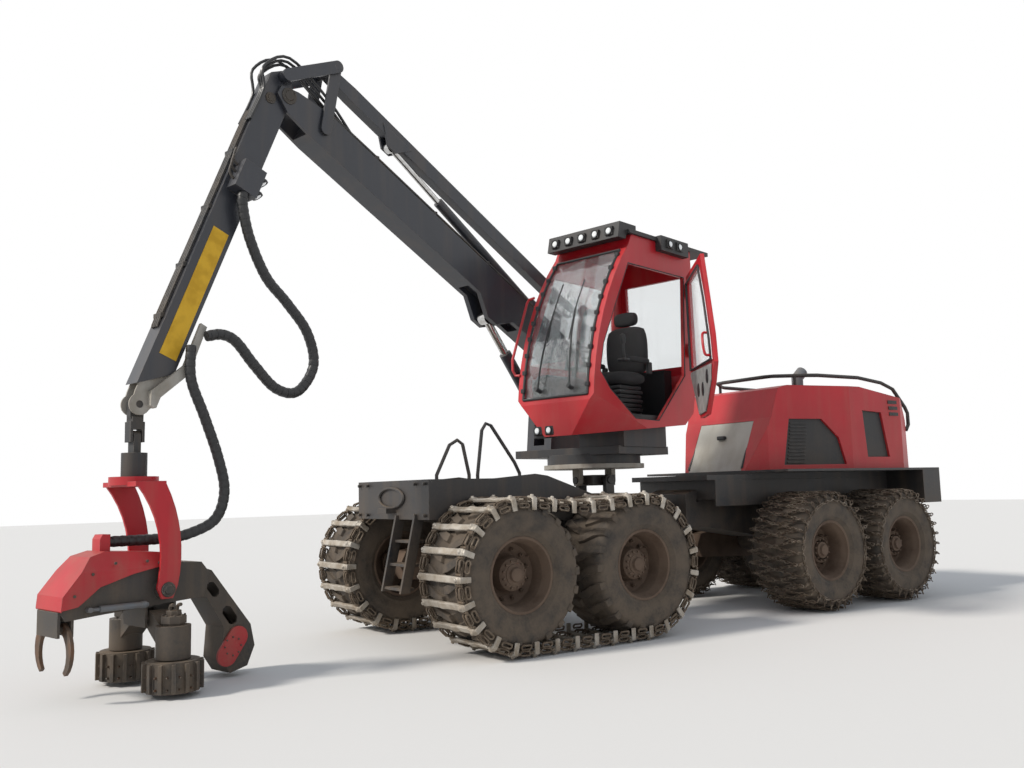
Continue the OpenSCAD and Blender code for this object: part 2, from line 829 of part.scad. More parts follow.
// Lever on the boom's foot pin that carries the lower end of the upper rod
module lever() {
    q = on_boom(arm_v[0], arm_v[1]);
    color(black)
        crane_plane() {
            difference() {
                for (s = [-1, 1])
                    slab(s > 0 ? 200 : -225, s > 0 ? 225 : -200)
                        bar(foot, q, 130);
                pin(foot, pin_d + 2 * pin_c, -300, 300);
            }
            pin(q, 70, -225, 225);
        }
}

// Upper rod, a box beam parallel to the boom, with the lug of the stick cylinder.
// Its half depth changes along the boom: [along, half depth]
rod_w = 55;
rod_side = [[arm_v[0], 58], [arm_v[0] + 320, 78], [rocker_u + arm_v[0] - 320, 78], [rocker_u + arm_v[0], 58]];
module upper_rod() {
    p = on_boom(arm_v[0], arm_v[1]);
    q = on_boom(rocker_u + arm_v[0], arm_v[1]);
    color(black)
        crane_plane()
            difference() {
                union() {
                    slab(-rod_w, rod_w)
                        polygon([for (c = concat(
                            [for (c = rod_side) [c[0], arm_v[1] + c[1]]],
                            [for (i = [len(rod_side) - 1 : -1 : 0]) [rod_side[i][0], arm_v[1] - rod_side[i][1]]]))
                            on_boom(c[0], c[1])]);
                    pin(p, 120, -60, 60);
                    pin(q, 120, -60, 60);
                    for (s = [-1, 1])
                        slab(s > 0 ? 40 : -62, s > 0 ? 62 : -40)
                            polygon([on_boom(rod_eye[0] - 220, 650), on_boom(rod_eye[0] + 220, 650),
                                     on_boom(rod_eye[0] + 60, 470), on_boom(rod_eye[0] - 60, 470)]);
                }
                for (c = [p, q])
                    pin(c, 70 + 2 * pin_c, -100, 100);
                slab(-40, 40)
                    polygon([on_boom(rod_eye[0] - 110, 620), on_boom(rod_eye[0] + 110, 620),
                             on_boom(rod_eye[0] + 110, 400), on_boom(rod_eye[0] - 110, 400)]);
            }
}

// Rocker on the boom's end, with the pin that rod and top link share
module rocker() {
    p = on_boom(rocker_u, 0);
    q = on_boom(rocker_u + arm_v[0], arm_v[1]);
    color(black)
        crane_plane() {
            for (s = [-1, 1])
                slab(s > 0 ? 148 : -170, s > 0 ? 170 : -148)
                    bar(p, q, 120);
            pin(p, 70, -170, 170);
            pin(q, 70, -200, 200);
        }
}

// Pair of plates from the rocker to the stick's upper pin
module top_link() {
    p = on_boom(rocker_u + arm_v[0], arm_v[1]);
    q = on_boom(boom_l + stick_pin[0], stick_pin[1]);
    color(black)
        crane_plane()
            difference() {
                union() {
                    for (s = [-1, 1])
                        slab(s > 0 ? 178 : -200, s > 0 ? 200 : -178)
                            bar(p, q, 120);
                    for (s = [-1, 1])
                        pin(q, 110, s > 0 ? stick_w / 2 + gap : -180, s > 0 ? 180 : -stick_w / 2 - gap);
                }
                pin(p, link_d + 2 * pin_c, -300, 300);
            }
}

stick_t0 = -30;
stick_wall = 16;
module stick() {
    t1 = stick_t0 + stick_d;
    w = stick_w / 2;
    color(black)
        crane_plane() {
            difference() {
                slab(-w, w)
                    polygon([on_stick(-200, 40), on_stick(-220, 130), on_stick(-120, t1), on_stick(stick_l, t1),
                             on_stick(stick_l - 205, stick_t0), on_stick(140, stick_t0 - 20), on_stick(60, -85),
                             on_stick(-70, -60)]);
                slab(-w + stick_wall, w - stick_wall)
                    polygon([on_stick(260, t1 - stick_wall), on_stick(stick_l + 10, t1 - stick_wall),
                             on_stick(stick_l + 10, stick_t0 + stick_wall), on_stick(260, stick_t0 + stick_wall)]);
                pin(elbow, pin_d + 2 * pin_c, -300, 300);
            }
            slab(w - 1, w + 150)
                polygon([on_stick(900, -40), on_stick(900, 190), on_stick(1180, 190), on_stick(1180, -40)]);
        }
}

ext_c = 6;
tip = [stick_l + 140, 130];
link_hw = 54;
arm_x1 = 145;
module extension() {
    w = stick_w / 2 - stick_wall - ext_c;
    t0 = stick_t0 + stick_wall + ext_c;
    t1 = stick_t0 + stick_d - stick_wall - ext_c;
    color(pale)
        crane_plane()
            difference() {
                union() {
                    slab(-w, w)
                        polygon([on_stick(320, t0), on_stick(320, t1), on_stick(stick_l + 50, t1),
                                 on_stick(tip[0] + 70, tip[1] + 60), on_stick(tip[0] + 70, tip[1] - 60),
                                 on_stick(stick_l + 50, t0)]);
                    slab(-w, w)
                        translate(on_stick(tip[0], tip[1]))
                            circle(r = 88);
                }
                slab(-link_hw - gap, link_hw + gap)
                    translate(on_stick(tip[0], tip[1]))
                        circle(r = link_l + 70);
                slab(-w + 12, w - 12)
                    polygon([on_stick(310, t0 + 12), on_stick(310, t1 - 12), on_stick(stick_l - 30, t1 - 12),
                             on_stick(stick_l - 30, t0 + 12)]);
                pin(on_stick(tip[0], tip[1]), 60 + 2 * pin_c, -200, 200);
            }
    color(black)
        crane_plane()
            {
                slab(w - 6, arm_x1)
                    polygon([on_stick(stick_l + 16, 20), on_stick(stick_l + 16, 110), on_stick(stick_l + 130, 70),
                             on_stick(stick_l + 130, 20)]);
                slab(stick_w / 2 + gap, arm_x1)
                    polygon([on_stick(stick_l + 16, 110), on_stick(stick_l + 130, 70),
                             on_stick(stick_l - 250, -130), on_stick(stick_l - 695, -117),
                             on_stick(stick_l - 700, -55), on_stick(stick_l - 300, -60)]);
            }
}

// Hanging link: an upper pin across and a lower pin lengthwise
tip_p = on_stick(tip[0], tip[1]);
low_p = tip_p - [0, link_l];
module tip_link() {
    color(black)
        crane_plane() {
            slab(-link_hw + 20, link_hw - 20)
                bar(tip_p, tip_p - [0, 90], 110);
            pin(tip_p, 60, -72, 72);
            translate([-link_hw, tip_p[0] - 45, low_p[1] + 60])
                cube([2 * link_hw, 90, link_l - 160]);
            for (s = [-1, 1])
                translate([-link_hw + 1, tip_p[0] + (s > 0 ? 38 : -58), low_p[1] - 45])
                    cube([2 * link_hw - 2, 20, 165]);
            translate([0, tip_p[0] - 58, low_p[1]])
                rotate([-90, 0, 0])
                    cylinder(h = 116, d = 50);
            translate([-link_hw, tip_p[0] - 58, low_p[1] + 60])
                cube([2 * link_hw, 116, 60]);
        }
}

// The yoke and the head are drawn with the tip's pin at hang [y, z] and move with it
hang = [-5210, 2261.2];
module hung() {
    crane_plane()
        translate([0, tip_p[0] - hang[0], tip_p[1] - hang[1]])
            children();
}

flange_z = 1640;
rotator_r = 100;
module rotator() {
    link_z = hang[1] - link_l;
    color(black)
        hung()
            difference() {
                union() {
                    translate([-50, hang[0] - 30, link_z - 135])
                        cube([100, 60, 135]);
                    translate([0, hang[0] - 30, link_z])
                        rotate([-90, 0, 0])
                            cylinder(h = 60, d = 100);
                    translate([0, hang[0], flange_z + 40])
                        cylinder(h = link_z - 130 - flange_z - 40, r = rotator_r);
                }
                translate([0, hang[0] - 200, link_z])
                    rotate([-90, 0, 0])
                        cylinder(h = 400, d = 50 + 2 * pin_c);
            }
}

// Points of the two hose bundles in the crane's plane: [x, y, z]
loop_d = 96;
loop_route = [
    [200, -4352, 4166], [200, -4372, 4080], [200, -4300, 3780], [200, -4130, 3450], [200, -3910, 3240], [200, -3690, 2990],
    [200, -3620, 2690], [200, -3790, 2440], [200, -4020, 2450], [200, -4240, 2640], [200, -4420, 2830],
    [200, -4560, 2880], [200, -4700, 2850]
];
head_d = 90;
hose_end_y = -5420;
head_route = [
    [188, -4830, 2760], [190, -4830, 2480], [200, -4710, 2170], [200, -4580, 1830], [200, -4520, 1550],
    [180, -4590, 1320], [120, -4790, 1210], [60, -4980, 1180], [12, -5200, 1175], [0, -5320, 1175],
    [0, -5380, 1175], [0, hose_end_y + seat_gap, 1175]
];

// Smooth way through the route's points
function route_at(r, i, f) =
    let (a = r[max(i - 1, 0)], b = r[i], c = r[i + 1], d = r[min(i + 2, len(r) - 1)])
    0.5 * ((2 * b) + (c - a) * f + (2 * a - 5 * b + 4 * c - d) * f * f + (3 * b - a - 3 * c + d) * f * f * f);
function route_points(r, n) = concat(
    [for (i = [0 : len(r) - 2]) for (k = [0 : n - 1]) route_at(r, i, k / n)], [r[len(r) - 1]]
);
module hose(route, d, n) {
    swept(route_points(route, n), d, [1, 0, 0]);
}
module hose_loop() {
    color(black)
        crane_plane()
            hose(loop_route, loop_d, 3);
}
module hose_head() {
    color(black)
        crane_plane()
            hose(head_route, head_d, 3);
}

// Yoke that hangs the head from the rotator
tilt_y = -5050;
yoke_x0 = 262;
yoke_x1 = 290;
module yoke() {
    color(red)
        hung() {
            translate([0, hang[0], flange_z - 30])
                cylinder(h = 69.7, r = 190);
            translate([-yoke_x1, hang[0] - 120, flange_z - 40])
                cube([2 * yoke_x1, 250, 40]);
            difference() {
                for (s = [-1, 1])
                    slab(s > 0 ? yoke_x0 : -yoke_x1, s > 0 ? yoke_x1 : -yoke_x0)
                        polygon(concat(
                            arc_points([hang[0] + 130, flange_z - 20], [tilt_y + 80, tilt_z + 30], 70, 8),
                            [[tilt_y + 40, tilt_z - 70], [tilt_y - 50, tilt_z - 70], [tilt_y - 90, tilt_z + 20]],
                            arc_points([tilt_y - 80, tilt_z + 60], [hang[0] - 110, flange_z - 20], -90, 8)));
                pin([tilt_y, tilt_z], 80 + 2 * pin_c, -400, 400);
            }
        }
}

knife_y = -5760;
knife_z = 560;

// Upper edge of the head's frame, and windows of its saw box: [y, z, y, z, width]
head_top = [[knife_y - 80, 690], [knife_y - 40, 780], [-5600, 955], [-5480, 1000], [-5000, 995]];
saw_hw = 150;
saw_windows = [[-4610, 775, -4560, 710, 80], [-4460, 560, -4395, 470, 90]];

// Window from p to q of half width h, with its four corners cut off
module saw_window(p, q, h) {
    l = norm(q - p);
    translate(p)
        rotate(atan2(q[1] - p[1], q[0] - p[0]))
            polygon([[0, -h], [l, -h], [l + 0.7 * h, -0.4 * h], [l + 0.7 * h, 0.4 * h], [l, h], [0, h],
                     [-0.7 * h, 0.4 * h], [-0.7 * h, -0.4 * h]]);
}

// Red cover over the head's front and the round cover on the saw box
cover_hw = 235;
module head_cover() {
    last = len(head_top) - 1;
    under = [for (i = [last : -1 : 0]) head_top[i] + [0, seat_gap]];
    color(red)
        hung() {
            intersection() {
                union() {
                    slab(-cover_hw, cover_hw)
                        polygon(concat([[knife_y - 85, 700], [knife_y - 75, 800], [-5620, 1075], [-5500, 1110], [-5060, 1080],
                                        [-5000, 1030]], under));
                    for (s = [-1, 1])
                        slab(s > 0 ? head_hw + seat_gap : -cover_hw, s > 0 ? cover_hw : -head_hw - seat_gap)
                            polygon([[knife_y - 85, 700], [knife_y - 75, 800], [-5620, 1075], [-5500, 1110],
                                     [-5060, 1080], [-5040, 980], [-5300, 930], [-5560, 850], [knife_y + 40, 720]]);
                }
                translate([0, -4900, 0])
                    rotate([90, 0, 0])
                        linear_extrude(1100)
                            polygon([[-240, 600], [240, 600], [240, 960], [150, 1130], [-150, 1130], [-240, 960]]);
            }
            slab(-70, 70)
                polygon([[-5500, 1060], [-5500, 1200], [-5480, 1235], [hose_end_y, 1235], [hose_end_y, 1060]]);
            slab(saw_hw + seat_gap, saw_hw + 22)
                bar([-4460, 190], [-4360, 330], 180);
        }
}

module head() {
    color(grey)
        hung() {
            difference() {
                union() {
                    slab(-head_hw, head_hw)
                        polygon(concat(head_top, [[-4720, 980], [-4640, 880], [-4700, 700], [-5560, 640],
                                                  [knife_y - 40, 620]]));
                    difference() {
                        slab(-saw_hw, saw_hw)
                            polygon([[-4760, 960], [-4600, 900], [-4230, 420], [-4190, 240], [-4260, 80],
                                     [-4420, 40], [-4500, 160], [-4480, 420], [-4640, 680], [-4800, 700]]);
                        slab(-saw_hw + plate_t, saw_hw - plate_t)
                            polygon([[-4640, 830], [-4590, 840], [-4260, 415], [-4215, 240], [-4275, 100],
                                     [-4400, 70], [-4470, 170], [-4450, 430], [-4600, 690]]);
                        for (w = saw_windows)
                            slab(-saw_hw - 1, saw_hw + 1)
                                saw_window([w[0], w[1]], [w[2], w[3]], w[4] / 2);
                    }
                }
                slab(-60, 60)
                    polygon([[knife_y + 60, 600], [knife_y + 60, 760], [-4700, 760], [-4700, 600]]);
            }
            for (y = [knife_y - 90, knife_y + 8, roll_y - 128, roll_y + 108])
                translate([-190, y, 505])
                    cube([380, 20, 185]);
            for (s = [-1, 1]) {
                translate([s * 120, knife_y - 80, knife_z])
                    rotate([-90, 0, 0])
                        cylinder(h = 100, d = 40);
                translate([s * arm_x, roll_y - 120, arm_z])
                    rotate([-90, 0, 0])
                        cylinder(h = 240, d = 50);
            }
            pin([tilt_y, tilt_z], 80, -yoke_x1, yoke_x1);
            for (s = [-1, 1])
                pin([tilt_y, tilt_z], 160, s > 0 ? head_hw - 10 : -yoke_x0 + gap, s > 0 ? yoke_x0 - gap : -head_hw + 10);
        }
}

// Knife arms at the head's tip, hinged lengthwise
module knife(s) {
    color(grey)
        hung()
            translate([s * 120, knife_y - (s > 0 ? 0 : 36), knife_z])
                rotate([90, 0, 0])
                    difference() {
                        linear_extrude(28)
                            polygon(concat(
                                arc_points([s * 44, 28], [s * 60, -330], s * 110, 8),
                                arc_points([s * 30, -310], [-s * 44, -20], -s * 90, 8),
                                [[-s * 42, 26], [-s * 15, 47], [s * 22, 46]]));
                        translate([0, 0, -1])
                            cylinder(h = 30, d = 40 + 2 * pin_c);
                    }
}

// Feed arm with the roller's motor, hinged lengthwise on the head's side
arm_x = 150;
arm_z = 570;
roll_x = 400;
roll_y = -5060;
roll_top = 270;
module feed_arm(s) {
    color(black)
        hung() {
            difference() {
                translate([s * arm_x, roll_y + 90, arm_z])
                    rotate([90, 0, 0])
                        linear_extrude(180)
                            polygon([[-s * 62, 0], [-s * 40, 50], [s * 20, 62], [s * 90, 40], [s * 240, -70],
                                     [s * 240, -190], [s * 160, -190], [-s * 30, -55]]);
                translate([s * arm_x, roll_y + 200, arm_z])
                    rotate([90, 0, 0])
                        cylinder(h = 400, d = 50 + 2 * pin_c);
            }
            translate([s * roll_x, roll_y, roll_top + 8])
                cylinder(h = 250, r = 130);
            translate([s * roll_x, roll_y, 120])
                cylinder(h = 200, d = 80);
        }
}
module roller(s) {
    color(grey)
        hung()
            translate([s * roll_x, roll_y, 40])
                difference() {
                    union() {
                        cylinder(h = roll_top - 40, r = 200);
                        for (k = [0 : 13])
                            rotate(k * 360 / 14)
                                translate([190, -14, 10])
                                    cube([40, 28, roll_top - 60]);
                    }
                    translate([0, 0, 60])
                        cylinder(h = 400, d = 80 + 2 * pin_c);
                }
}

// Cab
cab_x0 = cab_x - cab_hw;
cab_x1 = cab_x + cab_hw;
cab_rear = 800;
screen_top = [-480, 4130];
screen_low = [-1190, 2400];
function cab_outline(g) = concat(
    arc_points(screen_top + [g, 0], screen_low + [g, 0], -150, 8),
    [[-1150 + g, cab_z + g], [500, 2190 + g], [cab_rear - 120 - g, 2330 + g], [cab_rear - g, 2800],
     [cab_rear - 40 - g, roof_z - g], [-420, roof_z - g]]);
door_front = [[-500, 3920], [-760, 3430], [-990, 2990], [-1060, 2700], [-900, 2520], [-470, 2230], [-30, 2220]];
door_rear = [[540, 2760], [600, 3920]];
door_window = [[-400, 3820], [-680, 3400], [-900, 2960], [-960, 2740], [440, 2800], [500, 3820]];
hinge = [cab_x1 + 25, 640];
hinge_z = [3000, 3700];

// What is cut off the cab's two lower front corners, with the cut moved in by g.
// Its plane goes through three points: [beside the cab's middle, y, z]
corner = [[cab_hw, -460, 2200], [cab_hw - 50, -1190, 2400], [cab_hw - 350, -1200, 2050]];
module cab_corners(g) {
    for (s = [-1, 1]) {
        p = [for (c = corner) [s * c[0], c[1], c[2]]];
        n = s * cross(p[1] - p[0], p[2] - p[0]) / norm(cross(p[1] - p[0], p[2] - p[0]));
        u = (p[1] - p[0]) / norm(p[1] - p[0]);
        v = cross(n, u);
        o = p[0] - n * g + [cab_x, 0, 0];
        multmatrix([[u[0], v[0], n[0], o[0]], [u[1], v[1], n[1], o[1]], [u[2], v[2], n[2], o[2]], [0, 0, 0, 1]])
            translate([-1500, -1500, 0])
                cube([3000, 3000, 900]);
    }
}
module cab_shell() {
    color(red)
        slewed() {
            for (z = hinge_z)
                for (h = [z - 20 - seat_gap, z + 120 + seat_gap])
                    translate([cab_x1 - 10, hinge[1] - 18, h])
                        cube([53, 36, 20]);
            swept([[cab_x0 + 10, -880, 3640], [cab_x0 - 60, -890, 3630], [cab_x0 - 75, -910, 3590],
                   [cab_x0 - 75, -1175, 2920], [cab_x0 - 70, -1180, 2800], [cab_x0 - 50, -1160, 2745],
                   [cab_x0 + 10, -1150, 2740]], 30, [0, 1, 0]);
            difference() {
                slab(cab_x0, cab_x1)
                    polygon(cab_outline(0));
                cab_corners(0);
                difference() {
                    slab(cab_x0 + cab_t, cab_x1 - cab_t)
                        polygon(cab_outline(cab_t));
                    cab_corners(cab_t);
                }
                slab(cab_x1 - 100, cab_x1 + 10)
                    polygon(concat(door_front, door_rear));
                slab(cab_x0 - 10, cab_x0 + 100)
                    polygon([[-560, 3900], [-960, 3050], [-1020, 2850], [540, 2850], [560, 3900]]);
                slab(cab_x0 + 80, cab_x1 - 80)
                    polygon([[-200, 4080], [-700, 4080], [-1500, 3000], [-1500, 2450], [-900, 2450]]);
                slab(cab_x0 + 120, cab_x1 - 120)
                    polygon([[cab_rear - 150, 2900], [cab_rear + 50, 2900], [cab_rear + 50, 3950],
                             [cab_rear - 150, 3950]]);
            }
        }
}
module cab_glass() {
    color([0.6, 0.7, 0.75, 0.4])
        slewed() {
            slab(cab_x0 + 80 + seat_gap, cab_x1 - 80 - seat_gap)
                intersection() {
                    difference() {
                        polygon(cab_outline(12));
                        polygon(cab_outline(12 + glass_t));
                    }
                    polygon([[-200.3, 4079.7], [-700, 4079.7], [-1500, 3000], [-1500, 2450.3], [-900.3, 2450.3]]);
                }
            slab(cab_x0 + 20, cab_x0 + 20 + glass_t)
                polygon([[-559.7, 3899.7], [-959.6, 3050], [-1019.6, 2850.3], [539.7, 2850.3], [559.7, 3899.7]]);
            translate([cab_x0 + 120 + seat_gap, cab_rear - 42, 2900 + seat_gap])
                cube([2 * cab_hw - 240 - 2 * seat_gap, glass_t, 1050 - 2 * seat_gap]);
        }
}
module cab_inside() {
    color(black)
        slewed() {
            difference() {
                union() {
                    slab(cab_x0 + cab_t + seat_gap, cab_x1 - cab_t - seat_gap)
                        polygon([[-1000, 2280], [500, 2280], [500, 2240 + seat_gap], [-1000, 2130]]);
                    translate([cab_x0 + cab_t + seat_gap, -1000, 2270])
                        cube([180, 1400, 430]);
                }
                cab_corners(cab_t + seat_gap);
            }
            slab(cab_x - 200, cab_x + 300)
                polygon([[440, 2270], [500, 2270], [590, 2360], [590, 2840], [440, 2840]]);
        }
}
module seat() {
    color(black)
        slewed() {
            translate([cab_x - 190, -330, 2280.3])
                cube([420, 420, 380]);
            translate([cab_x - 250, -380, 2660])
                cube([540, 520, 130]);
            translate([cab_x - 250, 60, 2790])
                cube([540, 130, 720]);
            for (x = [cab_x - 330, cab_x + 290])
                translate([x, -340, 2880])
                    cube([80, 420, 60]);
            for (x = [cab_x - 330, cab_x + 290])
                translate([x, 60, 2760])
                    cube([80, 90, 180]);
        }
}
module roof_lamps() {
    color(black)
        slewed() {
            translate([cab_x0 - 30, -480, roof_z + 1])
                cube([2 * cab_hw + 60, 1600, 45]);
            slab(cab_x0 + 20, cab_x1 - 20)
                polygon([[-640, 4190], [-600, 4370], [-300, 4370], [-300, 4290], [-480, 4260], [-500, 4190]]);
            translate([cab_x1 + 1, 40, 4140])
                cube([80, 560, 170]);
            for (k = [-2 : 2])
                translate([cab_x + k * 190 - 50, -650, 4230])
                    cube([100, 40, 90]);
            for (k = [0 : 1])
                translate([cab_x1 + 70, 140 + k * 200, 4180])
                    cube([30, 120, 100]);
        }
}
module door_placed() {
    slewed()
        translate([hinge[0], hinge[1], 0])
            rotate([0, 0, door_open])
                translate([-hinge[0], -hinge[1], 0])
                    children();
}
module door() {
    color(red)
        door_placed() {
            difference() {
                slab(cab_x1 + 4, cab_x1 + 46)
                    polygon(concat(door_front, door_rear));
                slab(cab_x1 - 10, cab_x1 + 100)
                    polygon(door_window);
            }
            for (z = hinge_z) {
                translate([hinge[0], hinge[1], z])
                    cylinder(h = 120, r = 18);
                translate([hinge[0] - 8, hinge[1] - 100, z])
                    cube([16, 100, 120]);
            }
        }
}
module door_glass() {
    color([0.6, 0.7, 0.75, 0.4])
        door_placed()
            slab(cab_x1 + 20, cab_x1 + 20 + glass_t)
                polygon(inset(door_window, [-200, 3200], 2 * seat_gap));
}

front_frame();
slew_base();
front_deck();
bogie_front(1);  // bogie_front_left
bogie_front(-1);  // bogie_front_right
tyres_front(1);  // tyres_front_left
tyres_front(-1);  // tyres_front_right
track(1);  // track_left
track(-1);  // track_right
knuckle();
rear_frame();
rear_deck();
tail_box();
hood();
hood_front();
hood_sides();
hood_rail();
exhaust();
engine();
bogie_rear(1);  // bogie_rear_left
bogie_rear(-1);  // bogie_rear_right
rear_wheel(1, -1);  // wheel_3_left
rear_wheel(1, 1);  // wheel_4_left
rear_wheel(-1, -1);  // wheel_3_right
rear_wheel(-1, 1);  // wheel_4_right
level_cross();
level_table();
turntable();
pillar();
boom();
cab_shell();
cab_glass();
cab_inside();
seat();
roof_lamps();
door();
door_glass();
lift_barrel();
lift_rod();
lever();
upper_rod();
rocker();
top_link();
stick_barrel();
stick_rod();
stick();
extension();
tip_link();
rotator();
hose_loop();
hose_head();
yoke();
head();
head_cover();
knife(1);  // knife_left
knife(-1);  // knife_right
feed_arm(1);  // feed_arm_left
feed_arm(-1);  // feed_arm_right
roller(1);  // roller_left
roller(-1);  // roller_right
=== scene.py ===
# %% [markdown]
# # A forestry harvester, dressed piece by piece
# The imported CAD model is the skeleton: every solid already stands in its real place, in metres.
# This notebook adds what a quick solid lacks: tread, chains, hoses, bolts, lamps, cushions and
# finishes that show years of mud and bark. Each piece rides on a body of the frame, so it moves
# when a joint moves.

# %% Load the frame
import bpy
import bmesh
import math
from mathutils import Matrix, Vector


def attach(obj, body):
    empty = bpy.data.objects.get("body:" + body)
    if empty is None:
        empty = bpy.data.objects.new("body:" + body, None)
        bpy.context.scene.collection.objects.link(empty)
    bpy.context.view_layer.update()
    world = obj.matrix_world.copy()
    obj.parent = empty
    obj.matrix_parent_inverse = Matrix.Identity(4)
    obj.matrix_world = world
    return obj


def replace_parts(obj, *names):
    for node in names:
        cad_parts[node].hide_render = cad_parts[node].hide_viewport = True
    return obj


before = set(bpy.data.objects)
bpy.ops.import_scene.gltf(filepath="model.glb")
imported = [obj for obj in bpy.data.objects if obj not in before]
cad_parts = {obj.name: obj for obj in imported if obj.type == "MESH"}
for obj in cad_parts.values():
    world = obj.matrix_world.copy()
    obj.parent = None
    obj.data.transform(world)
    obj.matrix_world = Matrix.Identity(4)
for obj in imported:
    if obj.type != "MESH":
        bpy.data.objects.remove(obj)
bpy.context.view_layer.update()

# %% [markdown]
# The camera stands low beside the machine, a little ahead of the rear axle, and looks slightly
# up. Its place and turn were found from the wheels' ellipses, so the picture lines up with the
# real view. Its matrix is put together from three directions: right, up and backwards.

# %% Camera
CAMERA_PLACE = Vector((8.43, -7.116, 1.498))
AZIMUTH, PITCH, ROLL = math.radians(54.67), math.radians(6.45), math.radians(-1.41)
look = Vector((-math.sin(AZIMUTH) * math.cos(PITCH), math.cos(AZIMUTH) * math.cos(PITCH), math.sin(PITCH)))
level = Vector((math.cos(AZIMUTH), math.sin(AZIMUTH), 0))
upward = level.cross(look)
right = level * math.cos(ROLL) + upward * math.sin(ROLL)
up = upward * math.cos(ROLL) - level * math.sin(ROLL)
camera = bpy.data.objects.new("camera", bpy.data.cameras.new("camera"))
bpy.context.collection.objects.link(camera)
camera.data.sensor_width = 36
camera.data.lens = 36 * 940 / 1024
camera.data.clip_end = 200
camera.matrix_world = Matrix((right, up, -look)).transposed().to_4x4()
camera.location = CAMERA_PLACE
bpy.context.scene.camera = camera
print("lens", round(camera.data.lens, 2))

# %% [markdown]
# Cab and crane stand turned a little to the left on the slewing ring. Two matrices carry a piece
# from the cab's own directions, or from the crane's middle plane, to the machine's. On boom and
# stick a place is given by how far along and how far beside the line between the pins it lies.

# %% Places
SLEWED = Matrix.Rotation(math.radians(12), 4, "Z")
CRANE = SLEWED @ Matrix.Translation((-0.62, 0, 0))
FOOT = Vector((0.300, 3.050))
BOOM_A, STICK_A, BOOM_L = math.radians(27.8), math.radians(22.3), 4.690


def on_boom(u, v):
    return (FOOT[0] - math.cos(BOOM_A) * u + math.sin(BOOM_A) * v,
            FOOT[1] + math.sin(BOOM_A) * u + math.cos(BOOM_A) * v)


ELBOW = on_boom(BOOM_L, 0)


def on_stick(s, t):
    return (ELBOW[0] - math.sin(STICK_A) * s - math.cos(STICK_A) * t,
            ELBOW[1] - math.cos(STICK_A) * s + math.sin(STICK_A) * t)


print("elbow", [round(c, 3) for c in ELBOW])

# %% [markdown]
# Paint, mud, rust and worn edges appear on nearly every surface. Each effect is a node group,
# built once: a material places it with its own values. `add` sets a node's options and its
# inputs, and links those inputs that are given as another node's output.

# %% Node helper
def add(tree, kind, inputs=None, **options):
    node = tree.nodes.new(kind)
    for name, value in options.items():
        setattr(node, name, value)
    for name, value in (inputs or {}).items():
        if isinstance(value, bpy.types.NodeSocket):
            tree.links.new(value, node.inputs[name])
        else:
            node.inputs[name].default_value = value
    return node


def new_group(name, inputs, outputs):
    group = bpy.data.node_groups.new(name, "ShaderNodeTree")
    for label, value in inputs.items():
        group.interface.new_socket(label, in_out="INPUT", socket_type="NodeSocketFloat").default_value = value
    for label, kind in outputs.items():
        group.interface.new_socket(label, in_out="OUTPUT", socket_type=kind)
    return group, group.nodes.new("NodeGroupInput"), group.nodes.new("NodeGroupOutput")


def ramp(tree, value, low, high, to_low=0.0, to_high=1.0):
    return add(tree, "ShaderNodeMapRange", {"Value": value, "From Min": low, "From Max": high,
                                            "To Min": to_low, "To Max": to_high}).outputs[0]


def times(tree, a, b):
    return add(tree, "ShaderNodeMath", {0: a, 1: b}, operation="MULTIPLY", use_clamp=True).outputs[0]


def plus(tree, a, b):
    return add(tree, "ShaderNodeMath", {0: a, 1: b}, operation="ADD", use_clamp=True).outputs[0]


# %% [markdown]
# Paint wears first where an edge stands out. The Bevel node looks round a point for a nearby
# edge and bends the normal there. Where that rounded normal leaves the face's own, the mask is
# white. Noise breaks it up, because bark and branches never rub an edge evenly.

# %% Edge wear
edge_wear, inlet, outlet = new_group("edge_wear", {"Radius": 0.008, "Amount": 1.0},
                                     {"Mask": "NodeSocketFloat", "Normal": "NodeSocketVector"})
rounded = add(edge_wear, "ShaderNodeBevel", {"Radius": inlet.outputs["Radius"]}, samples=4)
plain = add(edge_wear, "ShaderNodeNewGeometry")
bend = add(edge_wear, "ShaderNodeVectorMath", {0: rounded.outputs[0], 1: plain.outputs["Normal"]},
           operation="DOT_PRODUCT")
spots = add(edge_wear, "ShaderNodeTexNoise",
            {"Vector": add(edge_wear, "ShaderNodeTexCoord").outputs["Object"], "Scale": 14, "Detail": 6})
edge = times(edge_wear, ramp(edge_wear, bend.outputs["Value"], 0.985, 0.86),
             ramp(edge_wear, spots.outputs[0], 0.42, 0.58))
edge_wear.links.new(times(edge_wear, edge, inlet.outputs["Amount"]), outlet.inputs["Mask"])
edge_wear.links.new(rounded.outputs[0], outlet.inputs["Normal"])

# %% [markdown]
# Mud is thrown up from below and dust settles from above. The group mixes both: a height at
# which splashes fade out, and the upward look of the face for what lies on it. Object
# coordinates are the machine's own here, because every object keeps its origin at zero.

